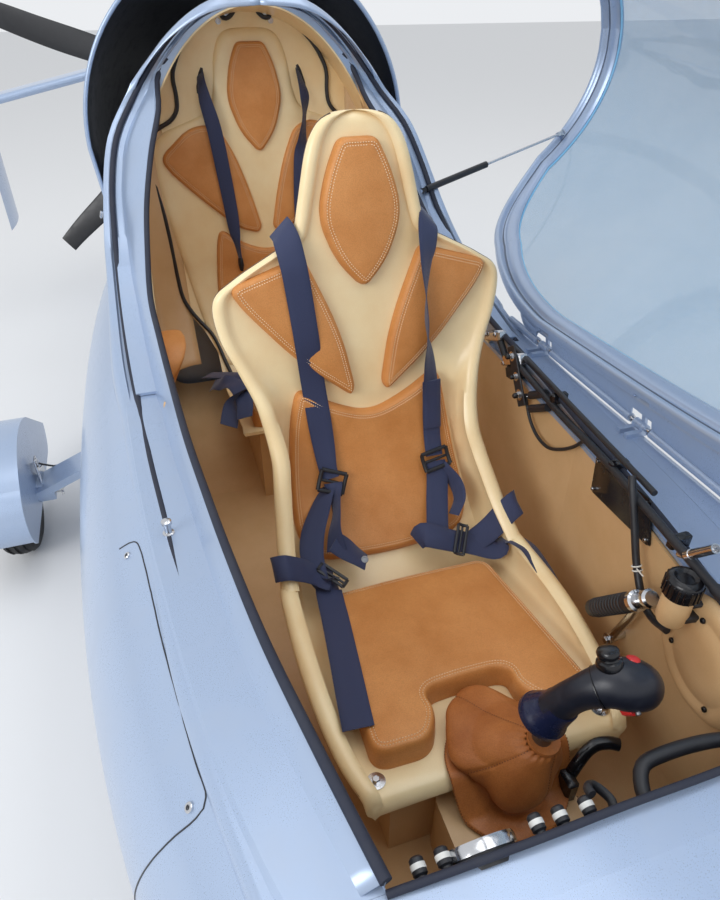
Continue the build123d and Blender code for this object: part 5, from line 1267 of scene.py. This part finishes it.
# %% Edge of the instrument panel
deck_edge = path([(1982, -254, 893), (1984, -180, 897), (1985, -89, 900), (1984, 0, 901), (1984, 100, 900),
    (1982, 180, 898), (1980, 252, 894)], 0.015)
Heap().add(bar(deck_edge, 0.0042, 12)).make("panel_edge_trim", black_trim)
dash = Heap()
dial, way = Vector((1.992, -0.146, 0.856)), Vector((-1, 0, 0.3)).normalized()
dash.add(turned(dial, way, mm([(12, 20), (12, 35), (26, 36)]), 48), 0)
dash.add(turned(dial, way, mm([(25, 34), (26, 38.5), (34, 38.5), (37.5, 36.5), (37.5, 33.5), (32, 32.5)]), 48), 1)
dash.add(turned(dial, way, mm([(24, 2), (24, 32.5), (31, 32.5), (32, 2)]), 40), 0)
for y, z in ((-0.214, 0.874), (-0.188, 0.876), (-0.084, 0.876), (-0.056, 0.874), (-0.024, 0.874)):
    dash.add(turned((1.984, y, z), (-1, 0, 0.1),
        mm([(0, 4), (0, 8.5), (5, 8.5), (5, 5.5), (12, 5.5), (14, 7.8), (28, 7.4), (30, 5.6), (30, 1)]), 20), 0)
    dash.add(turned((1.984, y, z), (-1, 0, 0.1), mm([(18, 7.4), (18, 8.1), (23.5, 8), (23.5, 7.2)]), 20), 2)
dash.add(bar(path([(1984, -6, 856), (1966, 10, 862), (1952, 6, 866), (1944, -4, 872), (1948, -14, 880),
    (1958, -16, 884)], 0.004), 0.0055, 10, 0.8), 0)
dash.add(bar(path([(1984, 50, 850), (1958, 56, 852), (1938, 70, 858), (1934, 100, 860), (1936, 150, 860),
    (1944, 190, 858), (1966, 206, 854), (1985, 208, 850)], 0.008), 0.0085, 14), 0)
for y in (-0.235, -0.118, -0.028, 0.112, 0.228):
    cap_screw(dash, (1.9835, y, 0.878), (-1, 0, 0), 0.004, 3, 0)
pale_ring = moulded("pale_ring", (226, 226, 222), (212, 212, 208), 0.4, 0.0)
dash.make("panel_instruments", [soft_black, steel_bright, pale_ring, engine_grey])
print("panel edge built")

# %% [markdown]
# ## Sill of the cockpit
#
# Round the opening runs a formed edge: the rounded outer lip, a narrow bright ridge, a rubber seal in its
# groove, a hollow and a flat flange that ends in a rubber trim. Two measured lines carry all of it, the
# seal and the trim, and one section is drawn between them at every step.

# %% The seal line and the trim line
# Each row: trim x, y, z, then seal x, y, z, for the port side; starboard mirrors it
EDGE_ROWS = [(0.306, 0.0, 1.54, 0.33, 0.0, 1.551), (0.302, 0.084, 1.531, 0.326, 0.09, 1.543),
    (0.292, 0.143, 1.504, 0.312, 0.152, 1.517), (0.28, 0.198, 1.456, 0.296, 0.212, 1.471),
    (0.272, 0.25, 1.396, 0.283, 0.274, 1.404), (0.3, 0.262, 1.362, 0.283, 0.329, 1.333),
    (0.35, 0.27, 1.321, 0.338, 0.38, 1.262), (0.43, 0.305, 1.245, 0.405, 0.411, 1.17),
    (0.51, 0.338, 1.148, 0.49, 0.427, 1.072), (0.615, 0.358, 1.062, 0.58, 0.433, 1.014),
    (0.73, 0.37, 0.996, 0.7, 0.437, 0.954), (0.87, 0.366, 0.962, 0.86, 0.436, 0.908),
    (1.02, 0.36, 0.943, 1.01, 0.429, 0.884), (1.22, 0.351, 0.934, 1.21, 0.419, 0.882),
    (1.38, 0.338, 0.924, 1.39, 0.406, 0.882), (1.52, 0.325, 0.919, 1.54, 0.396, 0.882),
    (1.68, 0.306, 0.914, 1.69, 0.382, 0.882), (1.83, 0.28, 0.908, 1.83, 0.36, 0.882),
    (1.975, 0.252, 0.902, 1.975, 0.33, 0.882)]
edge_rows = [(Vector(row[:3]), Vector(row[3:])) for row in smooth_rows(EDGE_ROWS, 0.02)]


def edge_section(trim, seal):
    """Section of the sill from outside to inside, as places in space."""
    out = seal - trim
    level = Vector((out.x, out.y, 0))
    out = (level if level.length > 0.02 else out).normalized()
    arch = max(0.0, min(1.0, (seal.z - 0.9) / 0.25))
    up, across = Vector((0, 0, 1)), seal - trim
    if arch > 0:
        up = (up * (1 - arch) + across.cross(up).cross(across).normalized() * arch).normalized()
    wide, short = 1 - 0.45 * arch, 1 - 0.92 * arch
    steps = [(0.043, -0.02), (0.0415, -0.009), (0.038, -0.001), (0.033, 0.0045), (0.027, 0.0055), (0.019, 0.004),
        (0.0155, 0.0045), (0.0135, 0.002), (0.0125, -0.004), (-0.009, -0.005), (-0.012, -0.004), (-0.022, -0.012),
        (-0.034, -0.008)]
    ring = [seal + out * (o * wide) + up * u for o, u in steps]
    flat_start = ring[-1]
    crown = 0.004 + 0.01 * max(0.0, min(1.0, (1.06 - trim.x) / 0.12)) * short
    ring += [flat_start.lerp(trim, t) + up * (crown * sin(pi * t) ** 0.6)
        for t in (0.06, 0.16, 0.32, 0.5, 0.68, 0.84, 0.94)]
    ring += [trim, trim - up * (0.012 * short) + out * 0.001, trim - up * (0.04 * short) + out * 0.006,
             trim - up * (0.075 * short) + out * 0.012]
    return ring


# Ahead of the strut the port shoulder reaches out under the hinges: least y and z of its first points
PORT_SHOULDER = ((0.464, 0.858), (0.463, 0.884), (0.459, 0.889), (0.448, 0.8895))
sill, seals, trims = Heap(), Heap(), Heap()
for side in (1, -1):
    flip = Vector((1, side, 1))
    rings = []
    for t, s in edge_rows:
        ring = edge_section(t, s)
        if side > 0 and t.x > 0.86:
            ring[:4] = [Vector((s.x, max(least, p.y), z)) for p, (least, z) in zip(ring, PORT_SHOULDER)]
        rings.append([p * flip for p in ring])
    sill.add(loft(rings, caps=False, closed=False))
    seals.add(bar([(s + Vector((0, 0, 0.001))) * flip for t, s in edge_rows if side < 0 or s.x < 1.0], 0.0068, 10))
    trims.add(bar([t * flip for t, s in edge_rows if t.z < 1.44], 0.0066, 12))
sill_piece = sill.make("cockpit_sill", body_silver, sharp=50)
thicken(sill_piece, 0.0016, -1)

# The tan moulding goes on down from the trim to the liner, beside and behind the rear seat
side_walls = Heap()
for side in (1, -1):
    rings = []
    for trim, seal in edge_rows:
        if 0.9 < trim.z < 1.4 and trim.x < 1.06:
            low = Vector((trim.x, 0.372 if trim.x < 0.73 else 0.375, 0.868))
            top = trim + Vector((0, 0.007, -0.018))
            rings.append([top.lerp(low, k / 10) + Vector((0, 0.012 * sin(pi * k / 10), 0)) for k in range(11)])
    side_walls.add(loft([[Vector((p.x, p.y * side, p.z)) for p in ring] for ring in rings], caps=False,
        closed=False))
rear_mouldings = side_walls.make("rear_side_mouldings", liner_tan, sharp=60)
thicken(rear_mouldings, 0.002, 0)
seals.make("sill_seal", black_trim)
trims.make("sill_trim", black_trim)
print("sill sections:", len(edge_rows))

# %% Latch pin and lock
latch = Heap()
latch.add(turned((1.414, -0.404, 0.886), (0, 0, 1),
    mm([(0, 4), (0, 9), (4, 9), (5, 5.5), (20, 5.5), (22, 8), (27, 8), (29, 5), (29, 1)]), 20))
latch.add(turned((0.212, -0.462, 1.05), (-0.1, -0.95, 0.3), mm([(-4, 10), (1, 11), (3, 8), (3, 4), (0, 3)]), 22))
latch.make("latch_fittings", steel_bright)

# %% [markdown]
# ## Canopy frame seen from inside
#
# The open canopy shows its inner side: an outer lip, a groove holding a grey strip that is painted shade,
# a raised inner lip and the cut edge of the tinted sheet, painted pale cyan as a painted glow. The frame
# follows the cabin's surface, so each ring is placed on that surface by how far it lies inside the
# frame's outline and how far below the skin.

# %% Cabin surface and frame outline
CABIN_ROWS = [(-170, 385, 560), (280, 440, 670), (730, 440, 650), (1230, 418, 530), (1630, 385, 370),
    (1980, 310, 195), (2180, 190, 90), (2280, 60, 25)]
cabin_curve = np.array(smooth_rows(CABIN_ROWS, 8.0))
HINGE_Y, HINGE_Z = 0.462, 0.902
HINGE = Vector((0, HINGE_Y, HINGE_Z))
OPENED = Matrix.Rotation(radians(-80), 3, "X")


def outline(k):
    """Side view of the frame's outline, k mm inside its edge, from the top of the arch to the nose."""
    low, bend = 892 + k, (580 + 0.5 * k, 1025 + 0.9 * k)
    top = look_up(280 + k, cabin_curve, 2) + 890
    way = [(280 + k, z) for z in np.linspace(top - 0.5, 1330, 40)]
    way += three_point_arc((280 + k, 1330), (375 + 0.8 * k, 1170 + 0.6 * k), bend, 30)[1:]
    way += three_point_arc(bend, (780, 945 + k), (1030, low), 26)[1:]
    return way + [(x, low) for x in np.linspace(1030, 2280 - 1.6 * k, 60)[1:]]


def on_cabin(x, z, inset, side):
    """Point of the cabin's surface, opened with the canopy, in metres."""
    half = look_up(x, cabin_curve, 1)
    height = look_up(x, cabin_curve, 2)
    side_half, rise = half - min(inset, half * 0.6), height - min(inset, height * 0.6)
    share = min(1.0, max(0.0, (z - 890) / rise))
    place = Vector((x / 1000, side * side_half * sqrt(max(0.0, 1 - share * share)) / 1000,
        min(z, 890 + rise) / 1000))
    return HINGE + OPENED @ (place - HINGE)


def frame_ring(k, inset):
    """The whole loop: up one side, over the arch and down the other, then back along the nose."""
    points = outline(k)
    port = [on_cabin(x, z, inset, 1) for x, z in points]
    starboard = [on_cabin(x, z, inset, -1) for x, z in points]
    return port[::-1] + starboard[1:]


# Each: how far inside the outline and how far below the skin, in mm
LIP = [(1.0, 12.2), (1.6, 20.0), (4.0, 25.0), (9.0, 27.0), (14.0, 25.5), (18.0, 21.0), (22.0, 15.0), (27.0, 13.2),
    (32.0, 14.0), (35.0, 18.0), (39.0, 21.0), (46.0, 22.0), (56.0, 21.0), (63.0, 17.5), (68.0, 12.5)]
lip_piece = Heap().add(loft([frame_ring(k, w) for k, w in LIP], caps=False,
    closed=False)).make("canopy_inner_lips", body_silver, body="canopy", sharp=50)
# A grey-blue strip laid in the frame's groove is painted shade for the groove, not a real seal
groove_shade_grey = moulded("groove_shade_grey", (96, 108, 128), (84, 94, 112), 0.5, 0.0)
Heap().add(bar(frame_ring(26.5, 12.5), 0.003, 8)).make("canopy_groove_shade", groove_shade_grey, body="canopy", slot="black_parts")
# The cut edge of the tinted sheet is painted pale cyan: a painted glow of light carried along the sheet
acrylic_edge_glow = moulded("acrylic_edge_glow", (150, 204, 236), (126, 190, 230), 0.15, 0.0)
Heap().add(bar(frame_ring(70.0, 8.5), 0.0028, 8)).make("acrylic_cut_edge", acrylic_edge_glow, body="canopy",
    slot="acrylic")
print("canopy lip points:", len(lip_piece.data.vertices))

# %% The flange that reaches from the frame to the hinges
# The hinge line is straight and the frame's edge curves away from it, so the flange gets wider forwards
rings = []
for x in np.concatenate([np.arange(0.9, 1.031, 0.02), [1.0315, 1.0885], np.arange(1.09, 1.371, 0.02),
        [1.3715, 1.4285], np.arange(1.43, 1.951, 0.02)]):
    x = float(x)
    half = look_up(x * 1000, cabin_curve, 1) / 1000
    near_hinge = any(abs(x - h) < 0.029 for h in (1.06, 1.4))
    outer = 0.436 if near_hinge else 0.4525
    start = min(half - 0.002, outer - 0.01)
    low = 0.9 if x > 0.98 else 0.9 + 1.2 * (0.98 - x) ** 1.5
    section = [(start, low + 0.012), (start + 0.004, low + 0.003), (start + 0.01, low), (outer - 0.004, low),
        (outer, low + 0.001), (outer, low + 0.004), (start + 0.012, low + 0.0035), (start + 0.006, low + 0.014)]
    rings.append([HINGE + OPENED @ (Vector((x, y, z)) - HINGE) for y, z in section])
Heap().add(loft(rings)).make("canopy_hinge_flange", body_silver, body="canopy", sharp=50)

# %% Hinge tube and pins
tube = Heap()
for start, end in ((0.9, 1.03), (1.09, 1.37), (1.43, 1.95)):
    tube.add(bar([(start, HINGE_Y, HINGE_Z), (end, HINGE_Y, HINGE_Z)], 0.0085, 18))
tube.make("hinge_tube", body_silver)
knuckles = Heap()
for x in (1.06, 1.4):
    knuckles.add(bar([(x - 0.024, HINGE_Y, HINGE_Z), (x + 0.024, HINGE_Y, HINGE_Z)], 0.0046, 14))
    for end in (-0.026, 0.024):
        knuckles.add(turned((x + end, HINGE_Y, HINGE_Z), (1, 0, 0), mm([(0, 2), (0, 7.2), (3, 7.2), (3, 2)]), 16))
knuckles.make("hinge_pins", steel_bright)

# %% The rear seat's moulding goes out to the walls
def inside_cabin(x, z, off):
    """Half width that is free inside the cabin at x and z."""
    half = look_up(x * 1000, cabin_curve, 1) / 1000
    rise = look_up(x * 1000, cabin_curve, 2) / 1000
    return half * sqrt(max(0.0, 1 - (max(0.0, z - 0.89) / rise) ** 2)) - off


fill = Heap()
for side in (1, -1):
    rings = []
    for k in range(44):
        s = 0.06 + k * 0.0205
        near = rear_seat.at(s, 0, 0.001)
        out = min(0.366, inside_cabin(near.x + 0.05, near.z, 0.022))
        start = min(0.262, out - 0.01)
        rings.append([Vector((near.x + 0.06 * t * t, side * (start + (out - start) * t), near.z + 0.004 * t))
            for t in (0, 0.2, 0.4, 0.6, 0.8, 1.0)])
    fill.add(loft(rings, caps=False, closed=False))
rear_fill = fill.make("rear_moulding_sides", liner_tan, sharp=60)
thicken(rear_fill, 0.002, 0)

# %% [markdown]
# ## Outside: tyres, brakes, cowl, propeller and panel lines
#
# Three grooved tyres on the CAD's rims, a rolled rim with a dark inside for the open cowl, fixings where
# parts are bolted together, and the thin shut lines of the hull's side panels.

# %% Grooved tyres
def tyre(name, node, centre, width, body, outer=0.2, seat=0.102):
    """Tread with three grooves and a shoulder, in under two thousand triangles."""
    half = width / 2
    profile = [(-half * 0.62, seat), (-half * 0.98, seat + 0.03), (-half, seat + 0.048),
        (-half * 0.93, outer - 0.026), (-half * 0.78, outer - 0.0105)]
    for at in (-0.48, 0.0, 0.48):
        crown = outer - 0.016 * at ** 2
        profile += [(half * (at - 0.1), crown), (half * (at - 0.06), crown - 0.006),
            (half * (at + 0.06), crown - 0.006), (half * (at + 0.1), crown)]
    profile += [(-far, r) for far, r in reversed(profile[:5])]
    points, faces = turned(centre, (0, 1, 0), profile, 44)
    piece = Heap().add((points, [f for f in faces if len(f) == 4])).make(name, tyre_black, body=body, sharp=28)
    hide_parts(node)
    return piece


def middle_of(node):
    corners = [nodes[node].matrix_world @ Vector(c) for c in nodes[node].bound_box]
    low = Vector([min(c[i] for c in corners) for i in range(3)])
    high = Vector([max(c[i] for c in corners) for i in range(3)])
    return (low + high) / 2, high - low


for node, body in (("main_tyre_left", "left_wheel"), ("main_tyre_right", "right_wheel"),
        ("nose_tyre", "nose_wheel")):
    middle, sizes = middle_of(node)
    made = tyre(node.replace("tyre", "tread"), node, middle, sizes.y, body)
    print(node, [round(x, 3) for x in middle], "width", round(sizes.y, 3), "faces", len(made.data.polygons))

# %% Wheel nuts, brakes and axle blocks
for node, body, side in (("main_rim_left", "left_wheel", 1), ("main_rim_right", "right_wheel", -1),
        ("nose_rim", "nose_wheel", 1)):
    middle, sizes = middle_of(node)
    nuts = Heap()
    for face in ((1, -1) if body == "nose_wheel" else (side,)):
        for a in angles(6):
            place = middle + Vector((0.058 * cos(a), face * 0.0122, 0.058 * sin(a)))
            hex_bolt(nuts, place, (0, face, 0), 0.0065, 0.0105)
    if body != "nose_wheel":
        disc = middle + Vector((0, -side * (sizes.y / 2 + 0.004), 0))
        nuts.add(turned(disc, (0, side, 0), mm([(-2, 50), (-2, 84), (1.5, 84), (1.5, 50)]), 40))
    nuts.make(node.replace("rim", "wheel_nuts"), steel_bright, body=body)

brakes = Heap()
for side in (1, -1):
    middle, sizes = middle_of("main_rim_left" if side > 0 else "main_rim_right")
    inner = side * (abs(middle.y) - sizes.y / 2 - 0.004)
    for lean in (-0.01, 0.01):
        brakes.add(block((middle.x - 0.068, inner - side * lean, middle.z + 0.042), (0.044, 0.013, 0.052),
            (0.8, 0, 0.5), (-0.5, 0, 0.8)), 1)
    brakes.add(block((middle.x - 0.034, side * 0.826, middle.z + 0.03), (0.086, 0.006, 0.064), (0.9, 0, 0.3),
        (-0.3, 0, 0.9)))
    brakes.add(block((middle.x, side * 0.786, middle.z + 0.034), (0.074, 0.026, 0.014)))
    brakes.add(block((middle.x - 0.006, side * 0.8275, middle.z + 0.062), (0.036, 0.005, 0.116), (1, 0, 0),
        (-0.1, 0, 1), 0.3))
    brakes.add(bar([(middle.x, side * 0.77, middle.z), (middle.x, side * 0.842, middle.z)], 0.02, 20))
    hex_bolt(brakes, (middle.x - 0.01, side * 0.8245, middle.z + 0.104), (0, -side, 0), 0.0075, 0.013)
    for dx, dz in ((-0.018, 0.016), (0.018, 0.016), (-0.018, -0.016), (0.018, -0.016)):
        hex_bolt(brakes, (middle.x + dx, side * 0.774, middle.z + dz), (0, -side, 0), 0.0062, 0.01)
    brakes.add(bar(smooth_line([(middle.x - 0.062, side * 0.838, middle.z + 0.066),
        (middle.x - 0.06, side * 0.806, middle.z + 0.05), (middle.x - 0.059, side * 0.76, middle.z + 0.044),
        (middle.x - 0.059, side * 0.64, middle.z + 0.096), (middle.x - 0.059, side * 0.44, middle.z + 0.136)],
        0.02), 0.0034, 8), 1)
wheel_brakes = brakes.make("wheel_brakes", [steel_bright, soft_black])
print("brake faces:", len(wheel_brakes.data.polygons))

# %% Rolled rim and dark inside of the cowl
COWL_ROWS = smooth_rows([(-690, 150, 165, 1080, 1310), (-370, 335, 350, 1130, 1480), (-70, 418, 440, 1180, 1610),
    (60, 428, 454, 1195, 1658), (110, 432, 464, 1200, 1672)], 20)


def cowl_ring(x, inset, count=48):
    foot, shoulder, level, top = (look_up(x, COWL_ROWS, k) for k in (1, 2, 3, 4))
    ring = [(foot - inset, 896.0)]
    for k in range(count + 1):
        a = pi * k / count
        ring.append(((shoulder - inset) * cos(a), level + (top - inset - level) * sin(a)))
    ring.append((-(foot - inset), 896.0))
    return [Vector((x / 1000, y / 1000, z / 1000)) for y, z in ring]


Heap().add(loft([cowl_ring(x, i) for x, i in ((104, 7.5), (90, 9), (40, 10), (-70, 10), (-220, 10), (-370, 10),
    (-520, 10), (-600, 10))], caps=False, closed=False)).make("cowl_inside", soft_black, sharp=60)
Heap().add(bar(cowl_ring(107, 4.5), 0.0058, 10)).make("cowl_rim", body_silver)
screws = Heap()
for share in (4, 12, 20, 28, 36, 44):
    place = cowl_ring(60, 0)[share]
    out = Vector((0, place.y, place.z - 1.2)).normalized()
    cap_screw(screws, place - out * 0.0005, out, 0.0055, 0, 1)
screws.make("cowl_screws", [steel_bright, soft_black])

# %% Propeller hub bolts
hub = Heap()
face_x, centre_z, circle = -0.905, 1.22, 0.052
for a in angles(6, 0.5):
    hex_bolt(hub, (face_x, circle * cos(a), centre_z + circle * sin(a)), (-1, 0, 0), 0.0065, 0.011)
hub.make("propeller_bolts", steel_bright, body="prop")

# %% Shut lines of the hull's side panels
shape = nodes["hull"].data
where = nodes["hull"].matrix_world
hull_tree = BVHTree.FromPolygons([where @ v.co for v in shape.vertices],
    [tuple(p.vertices) for p in shape.polygons])


def hull_side(x, z, side):
    """Point of the hull's skin at x and z, and the way it faces."""
    place, normal, _, _ = hull_tree.ray_cast(Vector((x, side * 2.0, z)), Vector((0, -side, 0)))
    return place, normal


PANEL_LINE = [(1.385, 0.852), (1.398, 0.872), (1.43, 0.8775), (1.515, 0.879), (1.6, 0.8785), (1.7, 0.878),
    (1.79, 0.876), (1.83, 0.8745), (1.842, 0.862), (1.841, 0.838), (1.838, 0.8), (1.832, 0.74), (1.822, 0.66)]
lines, panel_screws = Heap(), Heap()
for side in (1, -1):
    found = [hull_side(x, z, side) for x, _, z in smooth_rows([(x, 0, z) for x, z in PANEL_LINE], 0.008)]
    lines.add(bar([p + n * 0.0001 for p, n in found if p is not None], 0.0011, 6))
    for x, z in ((1.416, 0.862), (1.828, 0.86)):
        place, out = hull_side(x, z, side)
        cap_screw(panel_screws, place, out, 0.0058, 0, 1)
panel_lines = lines.make("panel_lines", soft_black)
panel_screws.make("panel_screws", [steel_bright, soft_black])
print("panel lines:", len(panel_lines.data.polygons), "faces")

# %% Arm rest of the rear seat
rows, level = [], 0.845
for x, share in ((0.655, 0.1), (0.662, 0.45), (0.68, 0.75), (0.71, 0.93), (0.75, 1.0), (0.79, 0.94), (0.82, 0.74),
        (0.836, 0.42), (0.842, 0.1)):
    y = -wall_skin(x) + 0.003
    section = [(0.0, -0.08), (0.012, -0.066), (0.03, -0.03), (0.05, 0.014), (0.066, 0.048), (0.068, 0.056),
        (0.062, 0.061), (0.04, 0.062), (0.015, 0.061), (0.0, 0.058)]
    rows.append([Vector((x, y + a * (0.25 + 0.75 * share), level + b * share)) for a, b in section])
Heap().add(loft(rows)).make("rear_arm_rest", caramel, sharp=60)

# %% [markdown]
# ## Camera, light and floor
#
# The photograph was taken standing ahead of the cabin on its starboard side, looking down and aft. The
# camera stands in that place with the same field of view. The light is one large soft lamp above, a
# weaker one from the side and a pale surround, strong enough that a colour renders about as it is mixed.

# %% Camera
eye = Vector((2.22, -0.357, 1.58))
heading, pitch = radians(18), radians(35.42)
aim = Vector((-cos(heading) * cos(pitch), sin(heading) * cos(pitch), -sin(pitch)))
lens = bpy.data.cameras.new("view")
lens.lens, lens.sensor_width, lens.clip_start = 26.4, 36, 0.02
camera = bpy.data.objects.new("view", lens)
bpy.context.scene.collection.objects.link(camera)
camera.location = eye
camera.rotation_mode = "QUATERNION"
camera.rotation_quaternion = aim.to_track_quat("-Z", "Y")
bpy.context.scene.camera = camera
print("camera at", tuple(round(x, 2) for x in eye))

# %% Lamps, surround and floor
def lamp(name, place, towards, size, power, tint=(1, 1, 1)):
    data = bpy.data.lights.new(name, "AREA")
    data.shape, data.size, data.size_y, data.energy, data.color = "RECTANGLE", size[0], size[1], power, tint
    made = bpy.data.objects.new(name, data)
    bpy.context.scene.collection.objects.link(made)
    made.location = place
    made.rotation_mode = "QUATERNION"
    made.rotation_quaternion = (Vector(towards) - Vector(place)).to_track_quat("-Z", "Y")
    return made


lamp("overhead", (1.5, 1.0, 6.5), (0.6, 0, 0.8), (6, 6), 170, (0.97, 0.985, 1.0))
lamp("window", (4.5, -6.0, 4.5), (0.5, 0, 0.9), (4, 3), 230)

world = bpy.data.worlds.new("surround")
bpy.context.scene.world = world
world.use_nodes = True
sky = world.node_tree
back = sky.nodes["Background"]
ray = sky.nodes.new("ShaderNodeLightPath")
seen = Flow(sky, ray.outputs["Is Camera Ray"])
seen = seen.largest(Flow(sky, ray.outputs["Is Glossy Ray"])).largest(Flow(sky, ray.outputs["Is Transmission Ray"]))
sky.links.new((0.82 + seen * 0.08).socket, back.inputs["Strength"])
back.inputs["Color"].default_value = (0.93, 0.95, 0.98, 1)

floor_finish = Finish("studio_floor")
floor_finish.paint(Base_Color=(0.78, 0.785, 0.79, 1), Roughness=0.9, Specular_IOR_Level=0.1)
bpy.ops.mesh.primitive_plane_add(size=60, location=(0, 0, 0))
floor = bpy.context.object
floor.name = "studio_floor"
floor.data.materials.append(floor_finish.material)
bpy.context.scene.view_settings.view_transform = "Standard"
